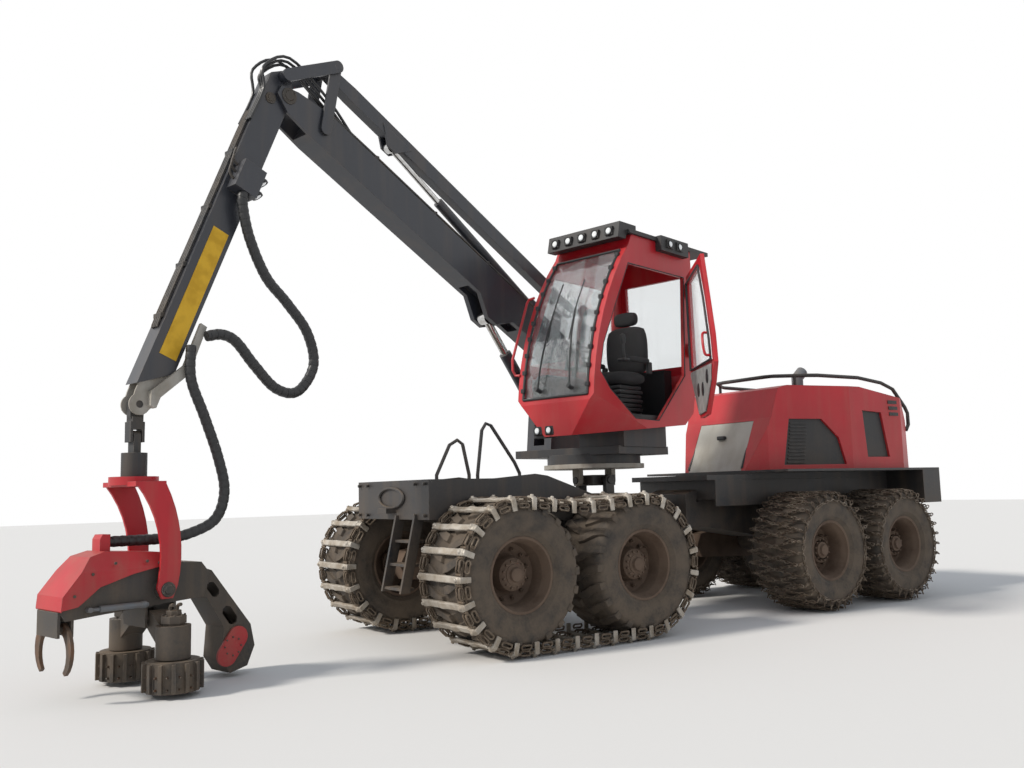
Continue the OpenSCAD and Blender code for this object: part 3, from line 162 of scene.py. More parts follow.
# %% Mud and dust
dust, inlet, outlet = new_group("dust", {"Low": 0.4, "High": 1.6, "Splash": 0.8, "Settled": 0.5, "Scale": 3.0},
                                {"Mask": "NodeSocketFloat", "Height": "NodeSocketFloat"})
place = add(dust, "ShaderNodeTexCoord").outputs["Object"]
height = add(dust, "ShaderNodeSeparateXYZ", {0: place}).outputs["Z"]
facing = add(dust, "ShaderNodeSeparateXYZ", {0: add(dust, "ShaderNodeNewGeometry").outputs["Normal"]}).outputs["Z"]
cloud = add(dust, "ShaderNodeTexNoise", {"Vector": place, "Scale": inlet.outputs["Scale"], "Detail": 8,
                                         "Roughness": 0.62}).outputs[0]
fine = add(dust, "ShaderNodeTexNoise", {"Vector": place, "Scale": 42, "Detail": 5}).outputs[0]
fall = add(dust, "ShaderNodeMapRange", {"Value": height, "From Min": inlet.outputs["High"],
                                        "From Max": inlet.outputs["Low"]}).outputs[0]
splash = times(dust, times(dust, fall, inlet.outputs["Splash"]),
               ramp(dust, plus(dust, times(dust, cloud, 0.75), times(dust, fine, 0.25)), 0.36, 0.56))
settled = times(dust, times(dust, ramp(dust, facing, 0.35, 0.95), inlet.outputs["Settled"]),
                ramp(dust, cloud, 0.3, 0.62))
dust.links.new(plus(dust, splash, settled), outlet.inputs["Mask"])
dust.links.new(fine, outlet.inputs["Height"])

# %% [markdown]
# Rain draws dirt down the sides. Stretched noise, tall and narrow, gives such streaks. The grain
# group is a fine roughness for cast and rolled steel, rubber and plastic, as a height for Bump.

# %% Streaks and grain
streaks, inlet, outlet = new_group("streaks", {"Scale": 6.0, "Amount": 0.4}, {"Mask": "NodeSocketFloat"})
place = add(streaks, "ShaderNodeTexCoord").outputs["Object"]
tall = add(streaks, "ShaderNodeMapping", {"Vector": place, "Scale": (1.0, 1.0, 0.09)}).outputs[0]
lines = add(streaks, "ShaderNodeTexNoise", {"Vector": tall, "Scale": inlet.outputs["Scale"], "Detail": 7}).outputs[0]
streaks.links.new(times(streaks, ramp(streaks, lines, 0.48, 0.72), inlet.outputs["Amount"]), outlet.inputs["Mask"])

grain, inlet, outlet = new_group("grain", {"Scale": 60.0, "Pits": 0.4}, {"Height": "NodeSocketFloat"})
place = add(grain, "ShaderNodeTexCoord").outputs["Object"]
fine = add(grain, "ShaderNodeTexNoise", {"Vector": place, "Scale": inlet.outputs["Scale"], "Detail": 4}).outputs[0]
pits = add(grain, "ShaderNodeTexVoronoi", {"Vector": place, "Scale": inlet.outputs["Scale"]}).outputs["Distance"]
grain.links.new(plus(grain, fine, times(grain, pits, inlet.outputs["Pits"])), outlet.inputs["Height"])
print("groups", [g.name for g in bpy.data.node_groups])

# %% [markdown]
# One recipe makes every painted or bare metal surface: a base colour that varies a little, worn
# metal on the edges, streaks, then mud and dust on top. Roughness follows the same masks, since
# mud is dull and bare steel is bright.

# %% Coated surfaces
MATERIALS = {}


def blend_colour(tree, factor, a, b):
    node = add(tree, "ShaderNodeMix", data_type="RGBA")
    for socket, value in ((node.inputs[0], factor), (node.inputs[6], a), (node.inputs[7], b)):
        if isinstance(value, bpy.types.NodeSocket):
            tree.links.new(value, socket)
        else:
            socket.default_value = value if isinstance(value, float) else (*value, 1.0)
    return node.outputs[2]


def use(tree, group, **values):
    return add(tree, "ShaderNodeGroup", {k.capitalize(): v for k, v in values.items()}, node_tree=group)


MUD = (0.20, 0.145, 0.095)


def coated(name, colour, second, worn=(0.16, 0.14, 0.12), mud=MUD, rough=0.4, metal=0.0, coat=0.0,
           radius=0.007, wear=0.8, low=0.5, high=1.7, splash=0.6, settled=0.4, streak=0.3,
           scale=60.0, bump=0.15, patch=2.0):
    material = bpy.data.materials.new(name)
    material.use_nodes = True
    tree = material.node_tree
    shader = tree.nodes["Principled BSDF"]
    place = add(tree, "ShaderNodeTexCoord").outputs["Object"]
    clouds = add(tree, "ShaderNodeTexNoise", {"Vector": place, "Scale": patch, "Detail": 6}).outputs[0]
    edges = use(tree, edge_wear, radius=radius, amount=wear)
    dirt = use(tree, dust, low=low, high=high, splash=splash, settled=settled, scale=3.0)
    rain = use(tree, streaks, scale=6.0, amount=streak)
    tint = blend_colour(tree, ramp(tree, clouds, 0.35, 0.65), colour, second)
    tint = blend_colour(tree, edges.outputs["Mask"], tint, worn)
    tint = blend_colour(tree, rain.outputs["Mask"], tint, mud)
    tint = blend_colour(tree, dirt.outputs["Mask"], tint, mud)
    tree.links.new(tint, shader.inputs["Base Color"])
    dull = plus(tree, dirt.outputs["Mask"], times(tree, rain.outputs["Mask"], 0.6))
    tree.links.new(ramp(tree, plus(tree, dull, times(tree, clouds, 0.25)), 0.0, 1.0, rough, 0.92),
                   shader.inputs["Roughness"])
    bare = plus(tree, metal, times(tree, edges.outputs["Mask"], 0.7))
    clean = add(tree, "ShaderNodeMath", {0: 1.0, 1: dirt.outputs["Mask"]}, operation="SUBTRACT", use_clamp=True)
    tree.links.new(times(tree, bare, clean.outputs[0]), shader.inputs["Metallic"])
    shader.inputs["Coat Weight"].default_value = coat
    shader.inputs["Coat Roughness"].default_value = 0.18
    height = plus(tree, times(tree, use(tree, grain, scale=scale, pits=0.3).outputs[0], 0.35),
                  times(tree, dirt.outputs["Mask"], dirt.outputs["Height"]))
    relief = add(tree, "ShaderNodeBump", {"Height": height, "Normal": edges.outputs["Normal"],
                                          "Strength": bump, "Distance": 0.006})
    tree.links.new(relief.outputs[0], shader.inputs["Normal"])
    MATERIALS[name] = material
    return material


coated("body_red", (0.50, 0.006, 0.016), (0.43, 0.006, 0.014), worn=(0.10, 0.09, 0.09), rough=0.38, coat=0.12,
       mud=(0.30, 0.15, 0.11), low=1.4, high=2.9, splash=0.20, settled=0.26, streak=0.16, bump=0.05)
coated("head_red", (0.50, 0.006, 0.016), (0.40, 0.008, 0.016), worn=(0.12, 0.11, 0.10), rough=0.42, coat=0.08,
       mud=(0.28, 0.17, 0.12), low=0.2, high=1.3, splash=0.25, settled=0.3, streak=0.26, bump=0.1)
coated("body_pale", (0.52, 0.52, 0.47), (0.46, 0.45, 0.40), rough=0.45, mud=(0.30, 0.25, 0.18), low=1.4, high=2.6,
       splash=0.35, settled=0.3, streak=0.35, bump=0.06)
coated("frame_black", (0.020, 0.021, 0.024), (0.028, 0.028, 0.030), rough=0.42, low=0.3, high=1.75, splash=0.55,
       settled=0.55, streak=0.2, bump=0.2)
coated("crane_black", (0.019, 0.022, 0.030), (0.026, 0.029, 0.038), rough=0.36, coat=0.25, low=-1.0, high=0.8,
       splash=0.2, settled=0.22, streak=0.14, wear=0.9, bump=0.1)
coated("cab_black", (0.016, 0.017, 0.019), (0.024, 0.024, 0.026), rough=0.5, low=1.2, high=2.3, splash=0.3,
       settled=0.35, streak=0.1, bump=0.12)
coated("steel_grey", (0.16, 0.175, 0.19), (0.12, 0.13, 0.145), worn=(0.30, 0.29, 0.28), rough=0.42, metal=0.1,
       low=-0.2, high=0.8, splash=0.5, settled=0.4, streak=0.35, bump=0.2)
coated("steel_dark", (0.030, 0.031, 0.033), (0.05, 0.043, 0.036), worn=(0.22, 0.20, 0.18), rough=0.5, metal=0.15,
       low=-0.4, high=1.1, splash=0.6, settled=0.4, streak=0.3, wear=1.0, bump=0.35)
coated("steel_rust", (0.13, 0.06, 0.03), (0.05, 0.04, 0.035), worn=(0.36, 0.33, 0.30), rough=0.55, metal=0.35,
       low=-0.5, high=0.8, splash=0.3, settled=0.2, streak=0.3, wear=1.0, bump=0.4, patch=9.0)
coated("track_steel", (0.50, 0.46, 0.40), (0.30, 0.25, 0.19), worn=(0.62, 0.60, 0.56), rough=0.5, metal=0.3,
       low=0.0, high=1.0, splash=0.5, settled=0.15, streak=0.1, wear=1.0, radius=0.012, bump=0.4, patch=8.0)
coated("chain_steel", (0.070, 0.050, 0.034), (0.15, 0.11, 0.075), worn=(0.42, 0.38, 0.33), rough=0.6, metal=0.25,
       low=-0.3, high=1.6, splash=0.5, settled=0.3, streak=0.0, wear=1.0, radius=0.006, bump=0.4, patch=14.0)
coated("rim_brown", (0.085, 0.052, 0.034), (0.13, 0.085, 0.058), worn=(0.22, 0.17, 0.13), rough=0.75,
       mud=(0.17, 0.12, 0.085), low=-0.2, high=2.2, splash=0.8, settled=0.6, streak=0.2, bump=0.4, patch=6.0)
coated("pale_dirty", (0.42, 0.40, 0.36), (0.30, 0.28, 0.24), worn=(0.30, 0.28, 0.26), rough=0.55, low=0.0, high=2.9,
       splash=0.35, settled=0.4, streak=0.4, bump=0.25, patch=7.0)
print("coated", len(MATERIALS))

# %% [markdown]
# Rubber is dark, but a forest tyre shows mostly dried mud: pale on the blocks, darker in the
# grooves. The mud here is thick, so it lifts the surface through the bump as well.

# %% Rubber, rod, plastic, cloth, glass and lamp
def simple(name, colour, second, rough, rough_second, metal=0.0, scale=20.0, bump=0.2, distance=0.003, detail=6):
    material = bpy.data.materials.new(name)
    material.use_nodes = True
    tree = material.node_tree
    shader = tree.nodes["Principled BSDF"]
    place = add(tree, "ShaderNodeTexCoord").outputs["Object"]
    clouds = add(tree, "ShaderNodeTexNoise", {"Vector": place, "Scale": scale, "Detail": detail}).outputs[0]
    mask = ramp(tree, clouds, 0.40, 0.62)
    tree.links.new(blend_colour(tree, mask, colour, second), shader.inputs["Base Color"])
    tree.links.new(ramp(tree, mask, 0.0, 1.0, rough, rough_second), shader.inputs["Roughness"])
    shader.inputs["Metallic"].default_value = metal
    relief = add(tree, "ShaderNodeBump", {"Height": clouds, "Strength": bump, "Distance": distance})
    tree.links.new(relief.outputs[0], shader.inputs["Normal"])
    MATERIALS[name] = material
    return material


coated("tyre", (0.040, 0.034, 0.029), (0.085, 0.066, 0.050), worn=(0.14, 0.115, 0.09), rough=0.75,
       mud=(0.15, 0.115, 0.082), low=-0.6, high=2.4, splash=0.95, settled=0.3, streak=0.0, radius=0.012,
       wear=0.5, bump=0.6, patch=6.0)
simple("chrome", (0.62, 0.62, 0.62), (0.50, 0.49, 0.47), 0.10, 0.25, metal=1.0, scale=30.0, bump=0.02)
simple("hose_black", (0.012, 0.013, 0.015), (0.030, 0.030, 0.031), 0.34, 0.55, scale=45.0, bump=0.15)
simple("plastic_black", (0.014, 0.015, 0.017), (0.022, 0.022, 0.024), 0.42, 0.6, scale=120.0, bump=0.15,
       distance=0.001)
simple("plastic_grey", (0.30, 0.31, 0.31), (0.24, 0.24, 0.235), 0.45, 0.6, scale=12.0, bump=0.05)
simple("seat_cloth", (0.018, 0.018, 0.020), (0.038, 0.037, 0.038), 0.85, 0.95, scale=260.0, bump=0.5,
       distance=0.001)
simple("sign_yellow", (0.72, 0.42, 0.012), (0.60, 0.34, 0.015), 0.42, 0.7, scale=9.0, bump=0.03)
simple("red_tube", (0.46, 0.010, 0.020), (0.36, 0.012, 0.018), 0.30, 0.5, scale=18.0, bump=0.05)
simple("orange_lens", (0.85, 0.22, 0.01), (0.75, 0.18, 0.01), 0.15, 0.3, scale=60.0, bump=0.1)


def lamp_glass(name):
    material = simple(name, (0.80, 0.82, 0.80), (0.66, 0.68, 0.68), 0.12, 0.3, scale=90.0, bump=0.25)
    shader = material.node_tree.nodes["Principled BSDF"]
    shader.inputs["Emission Color"].default_value = (0.9, 0.95, 1.0, 1.0)
    shader.inputs["Emission Strength"].default_value = 0.18
    return material


def window_glass(name, tint, dirt_low, dirt_high, splash):
    material = bpy.data.materials.new(name)
    material.use_nodes = True
    tree = material.node_tree
    shader = tree.nodes["Principled BSDF"]
    dirt = use(tree, dust, low=dirt_low, high=dirt_high, splash=splash, settled=0.1, scale=2.0)
    rain = use(tree, streaks, scale=5.0, amount=0.10)
    film = plus(tree, dirt.outputs["Mask"], rain.outputs["Mask"])
    tree.links.new(blend_colour(tree, film, tint, (0.36, 0.33, 0.28)), shader.inputs["Base Color"])
    tree.links.new(ramp(tree, film, 0.0, 1.0, 0.03, 0.5), shader.inputs["Roughness"])
    tree.links.new(ramp(tree, film, 0.0, 1.0, 0.34, 0.9), shader.inputs["Alpha"])
    shader.inputs["Transmission Weight"].default_value = 0.85
    shader.inputs["IOR"].default_value = 1.5
    MATERIALS[name] = material
    return material


lamp_glass("lamp_glass")
window_glass("glass", (0.55, 0.62, 0.64), 2.2, 3.1, 0.7)
print("materials", len(MATERIALS))

# %% [markdown]
# The small workshop for shapes. Every helper adds one closed form to a bmesh: a box, a round
# bar, a plate with an outline, or a turned ring. `new_piece` recalculates the normals, puts the
# result in a mesh, gives it a finish and lets it ride on its body.

# %% Shape helpers
def matrix_to(p, q):
    p, q = Vector(p), Vector(q)
    return Matrix.Translation((p + q) / 2) @ (q - p).to_track_quat("Z", "Y").to_matrix().to_4x4()


def rod(bm, p, q, radius, sides=12, end=None):
    length = (Vector(q) - Vector(p)).length
    return bmesh.ops.create_cone(bm, cap_ends=True, segments=sides, radius1=radius,
                                 radius2=radius if end is None else end, depth=length,
                                 matrix=matrix_to(p, q))["verts"]


def round_off(bm, verts, size, segments=2):
    edges = list({e for v in verts for e in v.link_edges})
    bmesh.ops.bevel(bm, geom=edges, offset=size, offset_type="OFFSET", segments=segments, profile=0.5,
                    affect="EDGES", material=-1, clamp_overlap=True)


def box(bm, low, high, bevel=0.0, turn=None, segments=2):
    low, high = Vector(low), Vector(high)
    shape = Matrix.Translation((low + high) / 2) @ Matrix.Diagonal((*(high - low), 1.0))
    verts = bmesh.ops.create_cube(bm, size=1.0, matrix=(turn or Matrix()) @ shape)["verts"]
    if bevel:
        round_off(bm, verts, bevel, segments)


def plate(bm, outline, x0, x1, bevel=0.0, turn=None, segments=2):
    face = bm.faces.new([bm.verts.new((x0, y, z)) for y, z in outline])
    grown = bmesh.ops.extrude_face_region(bm, geom=[face])["geom"]
    moved = [v for v in grown if isinstance(v, bmesh.types.BMVert)]
    bmesh.ops.translate(bm, vec=(x1 - x0, 0, 0), verts=moved)
    verts = list(set(moved) | set(face.verts))
    if turn:
        bmesh.ops.transform(bm, matrix=turn, verts=verts)
    if bevel:
        round_off(bm, verts, bevel, segments)


def add_copy(bm, mesh, matrix):
    """Adds a placed copy of a mesh."""
    copy = mesh.copy()
    copy.transform(matrix)
    bm.from_mesh(copy)
    bpy.data.meshes.remove(copy)


def as_mesh(bm):
    mesh = bpy.data.meshes.new("shape")
    bm.to_mesh(mesh)
    bm.free()
    return mesh


def turned(bm, profile, centre, axis=(1, 0, 0), steps=48):
    """Spins a closed outline of (along the axis, radius) round the axis through the centre."""
    axis, centre, own = Vector(axis), Vector(centre), bmesh.new()
    side = axis.orthogonal().normalized()
    verts = [own.verts.new(centre + axis * a + side * r) for a, r in profile]
    edges = [own.edges.new((verts[i - 1], verts[i])) for i in range(len(verts))]
    bmesh.ops.spin(own, geom=verts + edges, cent=centre, axis=axis, angle=math.tau, steps=steps,
                   use_merge=True, use_duplicate=False)
    bmesh.ops.remove_doubles(own, verts=own.verts, dist=0.00001)
    bmesh.ops.delete(own, geom=[e for e in own.edges if not e.link_faces], context="EDGES")
    mesh = as_mesh(own)
    bm.from_mesh(mesh)
    bpy.data.meshes.remove(mesh)


def new_piece(name, bm, body, material, turn=None, smooth=35):
    if turn:
        bmesh.ops.transform(bm, matrix=turn, verts=bm.verts)
    bmesh.ops.recalc_face_normals(bm, faces=bm.faces)
    open_edges = sum(len(e.link_faces) != 2 for e in bm.edges)
    triangles = sum(len(f.verts) - 2 for f in bm.faces)
    mesh = bpy.data.meshes.new(name)
    bm.to_mesh(mesh)
    bm.free()
    mesh.materials.append(MATERIALS[material])
    mesh.polygons.foreach_set("use_smooth", [True] * len(mesh.polygons))
    mesh.set_sharp_from_angle(angle=math.radians(smooth))
    piece = bpy.data.objects.new(name, mesh)
    bpy.context.collection.objects.link(piece)
    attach(piece, body)
    print(name, triangles, "triangles" + (f", {open_edges} open edges" if open_edges else ""))
    return piece


# %% [markdown]
# The hose bundle of the harvester head hangs from the stick in a long bow, and a second bow
# leads down to the head. Each is many thin hoses in one ribbed sleeve. The route is repeated from
# the CAD source in metres, and a Catmull-Rom spline leads smoothly through its points. The core
# is a curve, and short overlapping sleeves on it give the ribs.

# %% Hoses
RIB_PITCH = 0.062


def smooth_route(route, steps):
    points = [Vector(p) for p in route]
    out = []
    for i in range(len(points) - 1):
        a, b, c, d = points[max(i - 1, 0)], points[i], points[i + 1], points[min(i + 2, len(points) - 1)]
        for k in range(steps):
            f = k / steps
            out.append(0.5 * (2 * b + (c - a) * f + (2 * a - 5 * b + 4 * c - d) * f * f
                              + (3 * b - a - 3 * c + d) * f * f * f))
    return out + [points[-1]]


def ribbed_hose(name, route, diameter, body, node):
    path = [CRANE @ p for p in smooth_route(route, 8)]
    curve = bpy.data.curves.new(name, "CURVE")
    curve.dimensions = "3D"
    spline = curve.splines.new("POLY")
    spline.points.add(len(path) - 1)
    for point, place in zip(spline.points, path):
        point.co = (*place, 1.0)
    curve.bevel_depth = diameter / 2 - 0.004
    curve.bevel_resolution = 4
    curve.use_fill_caps = True
    curve.materials.append(MATERIALS["hose_black"])
    core = bpy.data.objects.new(name, curve)
    bpy.context.collection.objects.link(core)
    length = sum((b - a).length for a, b in zip(path, path[1:]))
    bm, r = bmesh.new(), diameter / 2
    walked, wanted = 0.0, 0.03
    for a, b in zip(path, path[1:]):
        part = (b - a).length
        while walked + part >= wanted and wanted < length - 0.05:
            middle = a.lerp(b, (wanted - walked) / part)
            along = (b - a).normalized()
            turned(bm, [(-0.030, r - 0.012), (-0.030, r - 0.003), (0.012, r), (0.026, r - 0.002), (0.026, r - 0.012)],
                   middle, along, 18)
            wanted += RIB_PITCH
        walked += part
    sleeve = new_piece(name + "_sleeve", bm, body, "hose_black", smooth=50)
    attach(core, body)
    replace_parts(core, node)
    print(name, "length", round(length, 3))


LOOP_ROUTE = [(0.200, -4.352, 4.166), (0.200, -4.372, 4.080), (0.200, -4.300, 3.780), (0.200, -4.130, 3.450),
              (0.200, -3.910, 3.240), (0.200, -3.690, 2.990), (0.200, -3.620, 2.690), (0.200, -3.790, 2.440),
              (0.200, -4.020, 2.450), (0.200, -4.240, 2.640), (0.200, -4.420, 2.830), (0.200, -4.560, 2.880),
              (0.200, -4.700, 2.850)]
HEAD_ROUTE = [(0.188, -4.830, 2.760), (0.190, -4.830, 2.480), (0.200, -4.710, 2.170), (0.200, -4.580, 1.830),
              (0.200, -4.520, 1.550), (0.180, -4.590, 1.320), (0.120, -4.790, 1.210), (0.060, -4.980, 1.180),
              (0.012, -5.200, 1.175), (0.000, -5.320, 1.175), (0.000, -5.380, 1.175), (0.000, -5.420, 1.175)]
ribbed_hose("stick_hose", LOOP_ROUTE, 0.096, "stick", "hose_loop")
ribbed_hose("head_hose", HEAD_ROUTE, 0.090, "extension", "hose_head")

# %% [markdown]
# A pale floor and a white surround, as in a studio. Camera, mirror and glass rays see plain
# white, while the object is lit by a softer grey sky and one broad sun from the machine's front.

# %% Floor, sky and sun
bm = bmesh.new()
bmesh.ops.create_grid(bm, x_segments=1, y_segments=1, size=60.0)
mesh = bpy.data.meshes.new("floor")
bm.to_mesh(mesh)
bm.free()
floor = bpy.data.objects.new("floor", mesh)
bpy.context.collection.objects.link(floor)
pale = bpy.data.materials.new("floor_pale")
pale.use_nodes = True
shader = pale.node_tree.nodes["Principled BSDF"]
shader.inputs["Base Color"].default_value = (0.80, 0.79, 0.77, 1.0)
shader.inputs["Roughness"].default_value = 0.9
shader.inputs["Specular IOR Level"].default_value = 0.1
mesh.materials.append(pale)

world = bpy.data.worlds.new("studio")
world.use_nodes = True
bpy.context.scene.world = world
tree = world.node_tree
tree.nodes.clear()
rays = add(tree, "ShaderNodeLightPath")
seen = plus(tree, rays.outputs["Is Camera Ray"], plus(tree, rays.outputs["Is Glossy Ray"],
                                                      rays.outputs["Is Transmission Ray"]))
sky = add(tree, "ShaderNodeBackground", {"Color": (0.80, 0.86, 0.95, 1.0), "Strength": 0.56})
white = add(tree, "ShaderNodeBackground", {"Color": (1.0, 1.0, 1.0, 1.0), "Strength": 1.0})
mixed = add(tree, "ShaderNodeMixShader", {0: seen, 1: sky.outputs[0], 2: white.outputs[0]})
tree.links.new(mixed.outputs[0], add(tree, "ShaderNodeOutputWorld").inputs[0])

sun = bpy.data.objects.new("sun", bpy.data.lights.new("sun", "SUN"))
bpy.context.collection.objects.link(sun)
sun.data.energy = 2.8
sun.data.angle = math.radians(9)
sun.data.color = (1.0, 0.95, 0.88)
sun.rotation_mode = "QUATERNION"
sun.rotation_quaternion = Vector((0.12, 0.80, -0.62)).to_track_quat("-Z", "Y")
bpy.context.scene.view_settings.view_transform = "Standard"
print("stage ready")

# %% [markdown]
# The CAD nodes whose shapes are right stay as they are and only change their finish. The table
# gives each node its material.

# %% Finishes of the CAD nodes
FINISHES = {
    "front_frame": "frame_black", "slew_base": "frame_black", "front_deck": "frame_black",
    "tail_box": "frame_black", "bogie_front_left": "rim_brown",
    "bogie_front_right": "rim_brown", "tyres_front_left": "tyre", "tyres_front_right": "tyre",
    "track_left": "track_steel", "track_right": "track_steel", "knuckle": "frame_black",
    "rear_frame": "frame_black", "rear_deck": "frame_black", "hood": "body_red", "hood_front": "body_pale",
    "hood_sides": "cab_black", "hood_rail": "cab_black", "exhaust": "steel_grey", "engine": "steel_dark",
    "bogie_rear_left": "rim_brown", "bogie_rear_right": "rim_brown", "wheel_3_left": "tyre",
    "wheel_4_left": "tyre", "wheel_3_right": "tyre", "wheel_4_right": "tyre", "level_cross": "frame_black",
    "level_table": "pale_dirty", "turntable": "frame_black", "pillar": "crane_black", "cab_shell": "body_red",
    "cab_glass": "glass", "cab_inside": "plastic_black", "seat": "seat_cloth", "roof_lamps": "cab_black",
    "head_cover": "head_red", "door": "body_red", "door_glass": "glass", "boom": "crane_black",
    "lift_barrel": "crane_black", "lift_rod": "chrome", "lever": "crane_black", "upper_rod": "crane_black",
    "rocker": "crane_black", "top_link": "crane_black", "stick_barrel": "crane_black", "stick_rod": "chrome",
    "stick": "crane_black", "extension": "pale_dirty", "tip_link": "steel_dark", "rotator": "steel_dark",
    "yoke": "head_red", "head": "steel_dark", "knife_left": "steel_rust", "knife_right": "steel_rust",
    "feed_arm_left": "steel_dark", "feed_arm_right": "steel_dark", "roller_left": "steel_dark",
    "roller_right": "steel_dark",
}
for name, finish in FINISHES.items():
    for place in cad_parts[name].material_slots:
        place.material = MATERIALS[finish]
print("finishes", len(FINISHES), "of", len(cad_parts))

# %% [markdown]
# The tyres are wide forestry ones with slanted blocks. A block is an outline that is extruded
# and narrowed at its top. All blocks are first laid out flat, as a strip, and then one bend
# rolls the strip round the carcass, which is a spun profile with a rounded shoulder.

# %% Tyres
WHEEL_X, TYRE_R, FRONT_Z, REAR_Z = 1.120, 0.672, 0.732, 0.705
FRONT_WHEELS, REAR_WHEELS = (-2.085, -0.585), (2.390, 3.890)
CARCASS = [(-0.300, 0.352), (-0.322, 0.380), (-0.338, 0.400), (-0.336, 0.415), (-0.350, 0.450), (-0.354, 0.500),
           (-0.348, 0.545), (-0.352, 0.560), (-0.340, 0.590), (-0.322, 0.615), (-0.270, 0.632), (-0.120, 0.638)]
BLOCK = [(0.012, 0.000), (0.100, 0.020), (0.235, 0.080), (0.330, 0.105), (0.350, 0.108), (0.350, 0.182),
         (0.330, 0.182), (0.225, 0.163), (0.090, 0.100), (0.012, 0.078)]


def roll_up(bm, verts, radius):
    for v in verts:
        a, r = v.co.y / radius, radius + v.co.z
        v.co = (v.co.x, r * math.sin(a), r * math.cos(a))


def tread_block(bm, side, u):
    deep = {True: -0.060, False: -0.012}
    face = bm.faces.new([bm.verts.new((side * x, u + y, deep[x > 0.34])) for x, y in BLOCK])
    grown = bmesh.ops.extrude_face_region(bm, geom=[face])["geom"]
    top = [v for v in grown if isinstance(v, bmesh.types.BMVert)]
    middle = sum((v.co for v in top), Vector()) / len(top)
    for v in top:
        v.co = middle + (v.co - middle) * 0.9
        v.co.z = 0.037 - max(0.0, abs(v.co.x) - 0.26) * 0.45


def tyre(name, centre, body, blocks=22):
    bm = bmesh.new()
    pitch = math.tau * 0.635 / blocks
    for k in range(blocks):
        tread_block(bm, 1, k * pitch)
        tread_block(bm, -1, (k + 0.5) * pitch)
    roll_up(bm, bm.verts, 0.635)
    profile = CARCASS + [(-a, r) for a, r in reversed(CARCASS)]
    turned(bm, profile, (0, 0, 0), steps=64)
    turn = Matrix.Translation(centre) @ Matrix.Rotation(0.37 * centre[1], 4, "X")
    return new_piece(name, bm, body, "tyre", turn, smooth=40)


for side, word in ((1, "left"), (-1, "right")):
    pair = [tyre(f"tyre_{k + 1}_{word}", (side * WHEEL_X, y, FRONT_Z), "bogie_front_" + word)
            for k, y in enumerate(FRONT_WHEELS)]
    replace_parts(pair[0], "tyres_front_" + word)
    for k, y in enumerate(REAR_WHEELS):
        body = f"wheel_{k + 3}_{word}"
        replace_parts(tyre(f"tyre_{k + 3}_{word}", (side * WHEEL_X, y, REAR_Z), body), body)

# %% [markdown]
# A rim is a deep dish: rolled flanges, a disc with a ring of nuts, and the planetary hub that
# stands out in the middle. The front rims are solids of the bogies already, so they only get
# nuts and hub covers. The rear rims are turned here, with the same profile.

# %% Rims and hubs
RIM = [(-0.120, 0.131), (-0.120, 0.150), (-0.040, 0.150), (-0.040, 0.260), (-0.200, 0.300), (-0.300, 0.325),
       (-0.306, 0.352), (-0.292, 0.352), (-0.240, 0.334), (0.240, 0.334), (0.292, 0.352), (0.306, 0.352),
       (0.300, 0.325), (0.268, 0.318), (0.255, 0.306), (0.200, 0.295), (0.060, 0.285), (0.034, 0.262),
       (0.020, 0.190), (0.040, 0.170), (0.150, 0.150), (0.166, 0.131)]
NUTS, NUT_CIRCLE, VALVE_CIRCLE = 12, 0.228, 0.268
hub = bmesh.new()
for k in range(NUTS):
    a = math.tau * (k + 0.5) / NUTS
    at = Vector((0, NUT_CIRCLE * math.cos(a), NUT_CIRCLE * math.sin(a)))
    rod(hub, at + Vector((0.030, 0, 0)), at + Vector((0.070, 0, 0)), 0.019, 6)
    rod(hub, at + Vector((0.060, 0, 0)), at + Vector((0.088, 0, 0)), 0.010, 8)
    rod(hub, at * 0.54 + Vector((0.150, 0, 0)), at * 0.54 + Vector((0.186, 0, 0)), 0.011, 6)
turned(hub, [(0.150, 0.0), (0.150, 0.100), (0.188, 0.096), (0.196, 0.070), (0.222, 0.060), (0.228, 0.0)],
       (0, 0, 0), steps=24)
for a in (0.6, 2.4, 4.3):
    at = Vector((0.040, VALVE_CIRCLE * math.cos(a), VALVE_CIRCLE * math.sin(a)))
    rod(hub, at, at + Vector((0.060, 0, 0)), 0.007, 8)
HUB = as_mesh(hub)


def hub_parts(bm, side, centre):
    """Wheel nuts, hub cover and its screws, seen on the outer side."""
    add_copy(bm, HUB, Matrix.Translation(centre) @ Matrix.Rotation(0 if side > 0 else math.pi, 4, "Z"))


for side, word in ((1, "left"), (-1, "right")):
    bm = bmesh.new()
    for y in FRONT_WHEELS:
        hub_parts(bm, side, (side * WHEEL_X, y, FRONT_Z))
    new_piece("front_hubs_" + word, bm, "bogie_front_" + word, "rim_brown")
    for k, y in enumerate(REAR_WHEELS):
        bm = bmesh.new()
        turned(bm, [(side * a, r) for a, r in RIM], (side * WHEEL_X, y, REAR_Z), steps=56)
        hub_parts(bm, side, (side * WHEEL_X, y, REAR_Z))
        new_piece(f"rim_{k + 3}_{word}", bm, f"wheel_{k + 3}_{word}", "rim_brown")

# %% [markdown]
# Chain links are stretched rings. One small ring mesh is made, and each link is a placed copy.
# Neighbours stand a quarter turn to each other, as in any chain.

# %% One chain link
def ring_mesh(length, width, thick, steps=8, sides=4):
    bm = bmesh.new()
    r = (width - thick) / 2
    corners = [math.tau * (k + 0.5) / sides for k in range(sides)]
    turned(bm, [(math.cos(a) * thick / 2, r + math.sin(a) * thick / 2) for a in corners], (0, 0, 0), (0, 0, 1), steps)
    for v in bm.verts:
        v.co.y += math.copysign((length - width) / 2, v.co.y)
    return as_mesh(bm)


NET_LINK = ring_mesh(0.074, 0.044, 0.014)
print("link faces", len(NET_LINK.polygons))

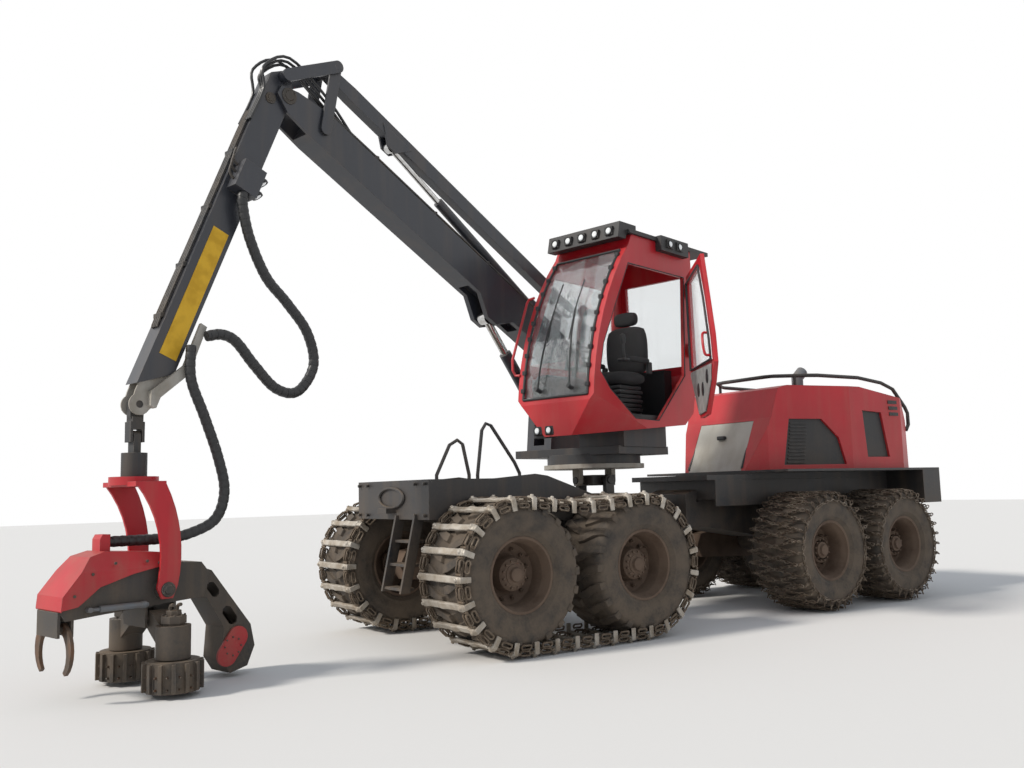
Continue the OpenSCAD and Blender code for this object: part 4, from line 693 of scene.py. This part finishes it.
# %% [markdown]
# The rear tyres wear a net of hardened chain: side chains on both walls, and chains that cross
# the tread in zigzag, so that the net has diamond meshes. A place on the net is given as flat
# coordinates, x across and u round the tyre, and one matrix lays the link on the tread.

# %% Chain nets
SIDE_LINKS = 64


def on_tread(x, u, h, angle, roll, radius=TYRE_R):
    return (Matrix.Rotation(-u / radius, 4, "X") @ Matrix.Translation((x, 0, radius + h))
            @ Matrix.Rotation(angle, 4, "Z") @ Matrix.Rotation(roll, 4, "Y"))


def on_wall(turns, x, r):
    return Matrix.Rotation(-turns * math.tau, 4, "X") @ Matrix.Translation((x, 0, r))


def chain_net(name, centre, body, meshes=16):
    bm = bmesh.new()
    around = math.tau * TYRE_R
    pitch, edge, step = around / meshes, 0.325, 0.056
    for k in range(2 * meshes):
        lean = 1 if k % 2 == 0 else -1
        start, end = Vector((-lean * edge, k * pitch / 2)), Vector((lean * edge, (k + 1) * pitch / 2))
        way = end - start
        angle, count = -math.atan2(way.x, way.y), round(way.length / step)
        for i in range(count):
            at, roll = start + way * (i + 0.5) / count, math.radians(45 if i % 2 else -45)
            add_copy(bm, NET_LINK, on_tread(at.x, at.y, 0.009, angle, roll))
            add_copy(bm, NET_LINK, on_tread(at.x, at.y + pitch / 2, 0.007, angle, -roll))
    for side in (-1, 1):
        for k in range(2 * meshes):
            for r, roll in ((0.655, 45), (0.612, -45)):
                add_copy(bm, NET_LINK, on_wall(k / (2 * meshes), side * 0.357, r)
                         @ Matrix.Rotation(math.pi / 2, 4, "X") @ Matrix.Rotation(math.radians(roll), 4, "Y"))
        for k in range(SIDE_LINKS):
            add_copy(bm, NET_LINK, on_wall(k / SIDE_LINKS, side * 0.362, 0.578)
                     @ Matrix.Rotation(math.radians(20 if k % 2 else -70), 4, "Y"))
    turn = Matrix.Translation(centre) @ Matrix.Rotation(0.9 * centre[1], 4, "X")
    return new_piece(name, bm, body, "chain_steel", turn, smooth=70)


for side, word in ((1, "left"), (-1, "right")):
    for k, y in enumerate(REAR_WHEELS):
        chain_net(f"chain_net_{k + 3}_{word}", (side * WHEEL_X, y, REAR_Z), f"wheel_{k + 3}_{word}")

# %% [markdown]
# A bogie track is a ladder of cast cross bars that wraps both front wheels of a side. It hangs
# through a little between the wheels. Each bar has raised ends with a stud, and ears that reach
# down over the tyre's shoulder. Pairs of links join bar to bar.

# %% Bogie tracks
TRACK_BARS, BOGIE, SAG = 31, 1.500, 0.055
ARC = math.pi * TYRE_R
ROUND = 2 * BOGIE + 2 * ARC
BAR = [(-0.352, -0.012), (-0.352, 0.028), (-0.338, 0.043), (-0.290, 0.046), (-0.250, 0.033), (-0.062, 0.033),
       (-0.025, 0.042), (0.025, 0.042), (0.062, 0.033), (0.250, 0.033), (0.290, 0.046), (0.338, 0.043),
       (0.352, 0.028), (0.352, -0.012), (0.300, 0.001), (-0.300, 0.001)]
TRACK_LINK = ring_mesh(0.128, 0.060, 0.020, 10, 6)


def track_at(d):
    """Place and slope (y, z, angle) on the track's inner line, from the middle between the wheels."""
    d = d % ROUND
    if d < BOGIE:
        f = 2 * d / BOGIE - 1
        return -BOGIE / 2 + d, TYRE_R - SAG * (1 - f * f) ** 2, math.atan(8 * SAG * f * (1 - f * f) / BOGIE)
    if d < BOGIE + ARC:
        a = (d - BOGIE) / TYRE_R
        return BOGIE / 2 + TYRE_R * math.sin(a), TYRE_R * math.cos(a), -a
    if d < 2 * BOGIE + ARC:
        return BOGIE / 2 - (d - BOGIE - ARC), -TYRE_R, -math.pi
    a = (d - 2 * BOGIE - ARC) / TYRE_R
    return -BOGIE / 2 - TYRE_R * math.sin(a), -TYRE_R * math.cos(a), -math.pi - a


def on_track(d, centre):
    y, z, a = track_at(d)
    return Matrix.Translation(Vector(centre) + Vector((0, y, z))) @ Matrix.Rotation(a, 4, "X")


def bogie_track(name, centre, body, node):
    bars, links = bmesh.new(), bmesh.new()
    pitch = ROUND / TRACK_BARS
    for k in range(TRACK_BARS):
        here = on_track((k + 0.5) * pitch, centre)
        plate(bars, BAR, -0.031, 0.031, bevel=0.007, turn=here @ Matrix.Rotation(math.pi / 2, 4, "Z"), segments=1)
        for s in (-1, 1):
            rod(bars, here @ Vector((s * 0.314, 0, 0.040)), here @ Vector((s * 0.314, 0, 0.060)), 0.022, 10, 0.014)
            box(bars, (s * 0.358 - 0.009, -0.026, -0.085), (s * 0.358 + 0.009, 0.026, 0.030), 0.005, here, 1)
            for u in (-0.045, 0.045):
                rod(links, here @ Vector((s * 0.270, u, 0.012)), here @ Vector((s * 0.354, u, 0.012)), 0.013, 8)
            middle = on_track((k + 1) * pitch, centre)
            for x in (0.290, 0.336):
                add_copy(links, TRACK_LINK, middle @ Matrix.Translation((s * x, 0, 0.010))
                         @ Matrix.Rotation(math.pi / 2, 4, "Y"))
            add_copy(links, TRACK_LINK, middle @ Matrix.Translation((s * 0.356, 0, -0.045))
                     @ Matrix.Rotation(math.radians(72), 4, "Y"))
    piece = new_piece(name + "_bars", bars, body, "track_steel", smooth=40)
    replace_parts(piece, node)
    new_piece(name + "_links", links, body, "chain_steel", smooth=60)


for side, word in ((1, "left"), (-1, "right")):
    bogie_track("track_" + word + "_new", (side * WHEEL_X, -1.335, FRONT_Z), "bogie_front_" + word, "track_" + word)

# %% [markdown]
# Pipes and short hoses follow a few points. A round face stands square to the way, and extruding
# it from place to place, without the faces left inside, gives one closed form with two flat ends.

# %% Pipes, pin caps and lamps
def pipe(bm, route, radius, sides=8, steps=5, ref=(1, 0, 0)):
    path = smooth_route(route, steps) if steps > 1 else [Vector(p) for p in route]
    places = []
    for i, p in enumerate(path):
        along = (path[min(i + 1, len(path) - 1)] - path[max(i - 1, 0)]).normalized()
        side = along.cross(Vector(ref)).normalized()
        places.append(Matrix.Translation(p) @ Matrix((side, along.cross(side), along)).transposed().to_4x4())
    ring = bmesh.ops.create_circle(bm, cap_ends=True, radius=radius, segments=sides, matrix=places[0])["verts"]
    foot = end = ring[0].link_faces[0]
    for last, here in zip(places, places[1:]):
        grown = bmesh.ops.extrude_face_region(bm, geom=[end])["geom"]
        if end is not foot:
            bmesh.ops.delete(bm, geom=[end], context="FACES_ONLY")
        end = next(f for f in grown if isinstance(f, bmesh.types.BMFace))
        bmesh.ops.transform(bm, matrix=here @ last.inverted(), verts=end.verts)


def pin_cap(bm, x, place, radius, side):
    """Round cap of a pin with a raised middle and two bolts, on a face that looks along x."""
    turned(bm, [(-0.002, 0), (-0.002, radius), (0.010, radius - 0.004), (0.010, radius * 0.62),
                (0.020, radius * 0.55), (0.020, 0)], (x, *place), (side, 0, 0), 28)
    for a in (0.6, 0.6 + math.pi):
        at = Vector((x, place[0] + radius * 0.8 * math.cos(a), place[1] + radius * 0.8 * math.sin(a)))
        rod(bm, at, at + Vector((side * 0.018, 0, 0)), radius * 0.12, 6)


def lamp(shell, lens, at, out, radius):
    """Work lamp: a round housing and a lens that bulges out of its ring."""
    turned(shell, [(-0.050, 0), (-0.050, radius * 0.7), (-0.020, radius), (0.006, radius), (0.006, radius - 0.008),
                   (-0.004, radius - 0.010), (-0.004, 0)], at, out, 24)
    turned(lens, [(-0.003, 0), (-0.003, radius - 0.011), (0.006, radius * 0.55), (0.008, 0)], at, out, 24)


# %% [markdown]
# The cab's outside: seal and clips round the curved windscreen, two long wiper arms, a gasket
# round the door's opening, lamps on the roof, and two low lamps on a bracket under the apron.

# %% Cab, outside
CAB_X, CAB_HW = 0.430, 0.520


def screen(f, out=0.0):
    """Point (y, z) on the windscreen, from f = 0 at its top to 1 at its foot."""
    top, foot = Vector((-0.480, 4.130)), Vector((-1.190, 2.400))
    way = foot - top
    normal = Vector((way.y, -way.x)).normalized()
    at = top + way * f + normal * (0.150 * 4 * f * (1 - f) + out)
    return at.x, at.y


def block(bm, centre, half, bevel=0.005):
    """Box given by its middle and its half sizes, with narrow chamfers."""
    centre, half = Vector(centre), Vector(half)
    box(bm, centre - half, centre + half, bevel, None, 1)


seals, clips, shell, lens = bmesh.new(), bmesh.new(), bmesh.new(), bmesh.new()
sides = (CAB_X - CAB_HW + 0.080, CAB_X + CAB_HW - 0.080)
for x in sides:
    pipe(seals, [(x, *screen(f, 0.004)) for f in (0.04, 0.2, 0.4, 0.6, 0.8, 0.97)], 0.014)
    for k in range(9):
        block(clips, (x, *screen(0.08 + 0.105 * k, 0.012)), (0.026, 0.018, 0.024), 0.006)
for f in (0.04, 0.97):
    pipe(seals, [(x, *screen(f, 0.004)) for x in (sides[0], CAB_X, sides[1])], 0.014, ref=(0, 0, 1))
ARM_FOOT, ARM_TIP = 0.93, 0.46
for x, lean in ((0.22, 0.30), (0.66, -0.26)):
    arm = [(x + lean * (1 - f / ARM_FOOT) * 0.5, *screen(f, 0.050 - 0.02 * abs(f - 0.5)))
           for f in (ARM_FOOT, 0.8, 0.62, ARM_TIP)]
    pipe(clips, arm, 0.010)
    shift = Vector(arm[-1]) - Vector((0, *screen(ARM_TIP, 0.022)))
    pipe(clips, [shift + Vector((0, *screen(f, 0.022))) for f in (0.66, ARM_TIP, 0.26)], 0.007)
    rod(clips, (x, *screen(ARM_FOOT, 0.0)), (x, *screen(ARM_FOOT, 0.07)), 0.024, 12)
DOOR_OUTLINE = ((-0.500, 3.920), (-0.760, 3.430), (-0.990, 2.990), (-1.060, 2.700), (-0.900, 2.520),
                (-0.470, 2.230), (-0.030, 2.220), (0.540, 2.760), (0.600, 3.920), (-0.500, 3.920))
pipe(seals, [(0.946, y, z) for y, z in DOOR_OUTLINE], 0.007, steps=1)
for k in range(-2, 3):
    lamp(shell, lens, (CAB_X + 0.19 * k, -0.653, 4.275), (0, -1, 0), 0.046)
for k in (0, 1):
    lamp(shell, lens, (CAB_X + CAB_HW + 0.103, 0.20 + 0.20 * k, 4.230), (1, 0, 0), 0.046)
for x in (0.16, 0.32):
    box(shell, (x - 0.06, -1.17, 2.070), (x + 0.06, -1.10, 2.170), 0.012, None, 1)
    lamp(shell, lens, (x, -1.175, 2.120), (0, -1, 0), 0.044)
box(shell, (0.08, -1.13, 2.04), (0.40, -1.09, 2.08), 0.006, None, 1)
new_piece("cab_seals", seals, "upper", "plastic_black", SLEWED)
new_piece("cab_clips", clips, "upper", "plastic_black", SLEWED)
new_piece("cab_lamp_shells", shell, "upper", "plastic_black", SLEWED)
new_piece("cab_lenses", lens, "upper", "lamp_glass", SLEWED)

# %% [markdown]
# Inside, the seat has crowned cushions on a ribbed bellows, arm pads with joysticks, a side
# console with rows of keys, and a steering column. A crowned cushion is a fine cube whose faces
# swell in the middle and draw in toward the corners.

# %% Cab, inside
def cushion(name, low, high, crown, body="upper"):
    bm, low, high = bmesh.new(), Vector(low), Vector(high)
    bmesh.ops.create_cube(bm, size=2.0)
    bmesh.ops.subdivide_edges(bm, edges=bm.edges, cuts=7, use_grid_fill=True)
    half = (high - low) / 2
    for v in bm.verts:
        n = v.co.copy()
        for i in range(3):
            j, k = (i + 1) % 3, (i + 2) % 3
            pull = 1 - 0.10 * (n[j] ** 4 + n[k] ** 4) - crown * (n[j] ** 2 + n[k] ** 2) / 2
            v.co[i] = n[i] * pull * half[i]
        v.co += (low + high) / 2
    piece = new_piece(name, bm, body, "seat_cloth", SLEWED, smooth=60)
    return piece


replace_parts(cushion("seat_base", (0.180, -0.380, 2.640), (0.720, 0.140, 2.790), 0.06), "seat")
cushion("seat_back", (0.180, 0.040, 2.770), (0.720, 0.190, 3.340), 0.06)
cushion("head_rest", (0.300, 0.050, 3.350), (0.600, 0.180, 3.510), 0.10)
for k, x in enumerate((0.100, 0.720)):
    cushion(f"arm_pad_{k + 1}", (x, -0.340, 2.880), (x + 0.080, 0.080, 2.940), 0.05)
bm = bmesh.new()
for k in range(7):
    z, grow = 2.285 + 0.050 * k, 0.012 * (k % 2)
    box(bm, (0.245 - grow, -0.325 - grow, z), (0.655 + grow, 0.085 + grow, z + 0.046), 0.016, None, 2)
for x in (0.140, 0.760):
    box(bm, (x - 0.025, 0.060, 2.760), (x + 0.025, 0.130, 2.900), 0.01, None, 1)
    pipe(bm, [(x, -0.360, 2.900), (x, -0.385, 3.000), (x, -0.375, 3.090)], 0.014)
    turned(bm, [(0, 0), (0, 0.024), (0.060, 0.034), (0.100, 0.026), (0.112, 0)],
           (x, -0.378, 3.070), (0, -0.15, 0.98), 16)
    box(bm, (x - 0.055, -0.440, 2.870), (x + 0.055, -0.330, 2.905), 0.012, None, 1)
box(bm, (0.0, -0.980, 2.700), (0.140, -0.300, 2.730), 0.008, None, 1)
for k in range(10):
    y = -0.95 + 0.065 * k
    for x in (0.02, 0.065, 0.11):
        box(bm, (x, y, 2.728), (x + 0.03, y + 0.04, 2.742), 0.003, None, 1)
pipe(bm, [(0.43, -0.900, 2.300), (0.43, -0.860, 2.700), (0.43, -0.760, 2.960)], 0.030, 12)
WHEEL_AT, WHEEL_R = Vector((0.43, -0.745, 2.985)), 0.150
turned(bm, [(0.012 * math.cos(a), WHEEL_R + 0.012 * math.sin(a)) for a in (math.tau * k / 8 for k in range(8))],
       WHEEL_AT, (0, 0.42, 0.90), 32)
for a in (0.3, 2.4, 4.5):
    out = Vector((math.cos(a), math.sin(a) * 0.9, -math.sin(a) * 0.42))
    rod(bm, WHEEL_AT, WHEEL_AT + out * (WHEEL_R - 0.002), 0.010, 8)
new_piece("cab_controls", bm, "upper", "plastic_black", SLEWED)

# %% [markdown]
# The door stands open, so its lining shows: a pale plastic shell with black oval grips, and a
# rubber lip. Its matrix turns about the door's own hinge.

# %% Door lining
HINGE = Vector((CAB_X + CAB_HW + 0.025, 0.640, 0))
DOOR = SLEWED @ Matrix.Translation(HINGE) @ Matrix.Rotation(math.radians(40), 4, "Z") @ Matrix.Translation(-HINGE)
bm, dark = bmesh.new(), bmesh.new()
plate(bm, [(-0.930, 2.700), (-0.880, 2.540), (-0.470, 2.260), (-0.050, 2.255), (0.470, 2.740), (0.430, 2.775)],
      0.936, 0.953, bevel=0.006, segments=1)
for y, z in ((-0.70, 2.60), (-0.40, 2.50), (-0.10, 2.52)):
    turned(dark, [(0, 0), (0, 0.075), (0.006, 0.070), (0.006, 0)], (0.936, y, z), (-1, 0, 0), 24)
DOOR_WINDOW = ((-0.400, 3.820), (-0.680, 3.400), (-0.900, 2.960), (-0.960, 2.740), (0.440, 2.800), (0.500, 3.820),
               (-0.400, 3.820))
pipe(dark, [(0.936, y, z) for y, z in DOOR_WINDOW], 0.012, steps=1)
new_piece("door_lining", bm, "door", "plastic_grey", DOOR)
new_piece("door_lip", dark, "door", "plastic_black", DOOR)
bm = bmesh.new()
pipe(bm, [(0.930, -0.860, 3.020), (0.880, -0.870, 3.000), (0.880, -0.960, 2.800), (0.930, -0.950, 2.780)],
     0.014, ref=(0, 0, 1), steps=4)
new_piece("door_handle", bm, "door", "red_tube", DOOR)

# %% [markdown]
# The crane has caps on its pins, three steel pipes along the boom and four down the stick with
# clamps, hoses over the elbow, a blank yellow sign, and two lamps under the stick's valve block.

# %% Crane fittings
def crane_pipe(bm, route, x, radius, steps=5):
    pipe(bm, [(x, *place) for place in route], radius, steps=steps)


bm = bmesh.new()
for side in (-1, 1):
    pin_cap(bm, side * 0.141, FOOT, 0.085, side)
    pin_cap(bm, side * 0.141, ELBOW, 0.080, side)
    pin_cap(bm, side * 0.141, on_boom(4.230, 0), 0.060, side)
for x, u0, u1 in ((0.120, 0.40, 4.30), (0.092, 0.40, 4.20), (-0.120, 0.40, 4.30)):
    route = ((u0 - 0.25, 0.16), (u0, 0.205), (u0 + 0.6, 0.207), (u1 - 0.6, 0.207), (u1, 0.190))
    crane_pipe(bm, [on_boom(u, v) for u, v in route], x, 0.013, 4)
for u in (0.9, 1.8, 2.7, 3.6):
    for x in (0.106, -0.106):
        block(bm, (x, *on_boom(u, 0.198)), (0.034, 0.030, 0.020))
new_piece("boom_pipes", bm, "boom", "steel_dark", CRANE)
bm = bmesh.new()
for k, x in enumerate((0.055, 0.085, 0.115, -0.070)):
    lift = 0.030 * k
    crane_pipe(bm, [on_boom(3.95, 0.20), on_boom(4.35, 0.26 + lift), (ELBOW[0] + 0.02, ELBOW[1] + 0.33 + lift),
                    (ELBOW[0] - 0.26, ELBOW[1] + 0.16 + lift), on_stick(0.10, 0.24), on_stick(0.45, 0.245)], x, 0.014)
new_piece("elbow_hoses", bm, "boom", "hose_black", CRANE)
bm = bmesh.new()
for side in (-1, 1):
    pin_cap(bm, side * 0.101, on_stick(0.120, 0.141), 0.055, side)
STICK_PIPE = ((0.30, 0.235), (0.50, 0.247), (0.90, 0.247), (1.60, 0.247), (2.50, 0.247), (2.60, 0.232))
for x in (0.045, 0.015, -0.015, -0.045):
    crane_pipe(bm, [on_stick(s, t) for s, t in STICK_PIPE], x, 0.011, 4)
for s in (0.8, 1.4, 2.0, 2.5):
    block(bm, (0, *on_stick(s, 0.243)), (0.065, 0.02, 0.02), 0.004)
for k, s in enumerate((0.94, 1.02, 1.10)):
    crane_pipe(bm, [on_stick(s, 0.19), on_stick(s - 0.04, 0.25), on_stick(s - 0.14, 0.262)], 0.13 + 0.02 * k, 0.012)
new_piece("stick_pipes", bm, "stick", "steel_dark", CRANE)
bm = bmesh.new()
plate(bm, [(-4.590, 3.850), (-4.445, 3.790), (-4.920, 2.630), (-5.065, 2.690)], 0.1005, 0.1035)
new_piece("stick_sign", bm, "stick", "sign_yellow", CRANE)
shell, lens = bmesh.new(), bmesh.new()
for s in (0.98, 1.12):
    y, z = on_stick(s, -0.075)
    lamp(shell, lens, (0.175, y, z), Vector((0.3, 0.42, -0.86)).normalized(), 0.052)
new_piece("stick_lamp_shells", shell, "stick", "plastic_black", CRANE)
new_piece("stick_lenses", lens, "stick", "lamp_glass", CRANE)

# %% [markdown]
# The hood's pale front panel has a black bar along each slanted edge and a latch in its middle.
# The tail box behind the rear wheels carries a pair of round orange lamps on each side.

# %% Hood details
bars, lens = bmesh.new(), bmesh.new()
for side in (-1, 1):
    pipe(bars, [(side * 0.455, 2.024, 1.700), (side * 0.425, 2.334, 2.280)], 0.018, steps=1)
block(bars, (0, 2.1825, 2.105), (0.060, 0.0325, 0.025), 0.010)
for side in (-1, 1):
    for x in (1.080, 0.940):
        lamp(bars, lens, (side * x, 5.188, 1.480), (0, 1, 0), 0.050)
new_piece("hood_bars", bars, "rear", "plastic_black")
new_piece("rear_lenses", lens, "rear", "orange_lens")

# %% [markdown]
# The feed motors sit on the feed arms: stacked octagonal housings with screws and hose elbows.
# Small teeth cover the rollers, and a slim cylinder lies along each side of the frame.

# %% Head details
ROLLER_X, ROLLER_Y = 0.400, -5.060
SCREWS, SCREW_CIRCLE = 8, 0.082
TOOTH_RINGS, TEETH = 4, 14
for side, word in ((1, "left"), (-1, "right")):
    bm = bmesh.new()
    at = Vector((side * ROLLER_X, ROLLER_Y, 0))
    for r, z0, z1 in ((0.105, 0.445, 0.500), (0.085, 0.500, 0.545), (0.100, 0.545, 0.600), (0.060, 0.600, 0.640)):
        rod(bm, at + Vector((0, 0, z0)), at + Vector((0, 0, z1)), r, 8)
    for k in range(SCREWS):
        a = math.tau * (k + 0.5) / SCREWS
        foot = at + Vector((SCREW_CIRCLE * math.cos(a), SCREW_CIRCLE * math.sin(a), 0.590))
        rod(bm, foot, foot + Vector((0, 0, 0.022)), 0.009, 6)
    for y in (-0.03, 0.03):
        pipe(bm, [at + Vector((0, y, 0.620)), at + Vector((0, y, 0.660)), at + Vector((side * 0.020, y, 0.680)),
                  at + Vector((side * 0.055, y, 0.685))], 0.014, ref=(0, 1, 0))
    new_piece("motor_" + word, bm, "feed_arm_" + word, "steel_dark", CRANE)
    bm = bmesh.new()
    for ring in range(TOOTH_RINGS):
        for k in range(TEETH):
            a = math.tau * (k + 0.5 * (ring % 2)) / TEETH + 0.22
            out = Vector((math.cos(a), math.sin(a), 0))
            foot = at + out * 0.196 + Vector((0, 0, 0.075 + 0.045 * ring))
            rod(bm, foot, foot + out * 0.026, 0.013, 4, 0.005)
    new_piece("roller_teeth_" + word, bm, "roller_" + word, "steel_rust", CRANE)
bm = bmesh.new()
for side in (-1, 1):
    x, z = side * 0.229, 0.690
    rod(bm, (x, -5.560, z), (x, -5.240, z), 0.024, 16)
    rod(bm, (x, -5.240, z), (x, -5.200, z), 0.027, 16)
    rod(bm, (x, -5.620, z), (x, -5.560, z), 0.013, 12)
    for y in (-5.635, -5.205):
        rod(bm, (side * 0.195, y, z), (side * 0.250, y, z), 0.020, 12)
new_piece("head_cylinders", bm, "head", "steel_grey", CRANE)
bm = bmesh.new()
for side in (-1, 1):
    for y, z in ((-5.75, 0.80), (-5.62, 0.95), (-5.45, 1.02), (-5.20, 1.02), (-5.10, 1.00)):
        rod(bm, (side * 0.233, y, z), (side * 0.243, y, z), 0.012, 6)
    pin_cap(bm, side * 0.291, (-5.050, 0.790), 0.060, side)
COVER_Y, COVER_Z, COVER_R = -4.410, 0.260, 0.075
for k in range(SCREWS):
    a = math.tau * k / SCREWS
    y, z = COVER_Y + COVER_R * math.cos(a), COVER_Z + COVER_R * math.sin(a)
    rod(bm, (0.170, y, z), (0.178, y, z), 0.008, 6)
new_piece("head_bolts", bm, "head", "steel_dark", CRANE)

# %% [markdown]
# The nose plate has a raised oval ring, where the real one has a recess with a rounded lip, and
# a bolt at each of its corners. The ring is turned as a circle and stretched to an oval.

# %% Frame details
bm, ring = bmesh.new(), bmesh.new()
oval = Matrix.Translation((0.0, -2.672, 1.450)) @ Matrix.Diagonal((2.6, 1, 1, 1))
turned(ring, [(-0.010, 0.085), (-0.010, 0.110), (0.006, 0.105), (0.006, 0.090)], (0, 0, 0), (0, -1, 0), 40)
add_copy(bm, as_mesh(ring), oval)
for x in (-0.68, -0.50, 0.50, 0.68):
    for z in (1.28, 1.58):
        rod(bm, (x, -2.655, z), (x, -2.684, z), 0.016, 6)
new_piece("front_bolts", bm, "front", "frame_black")
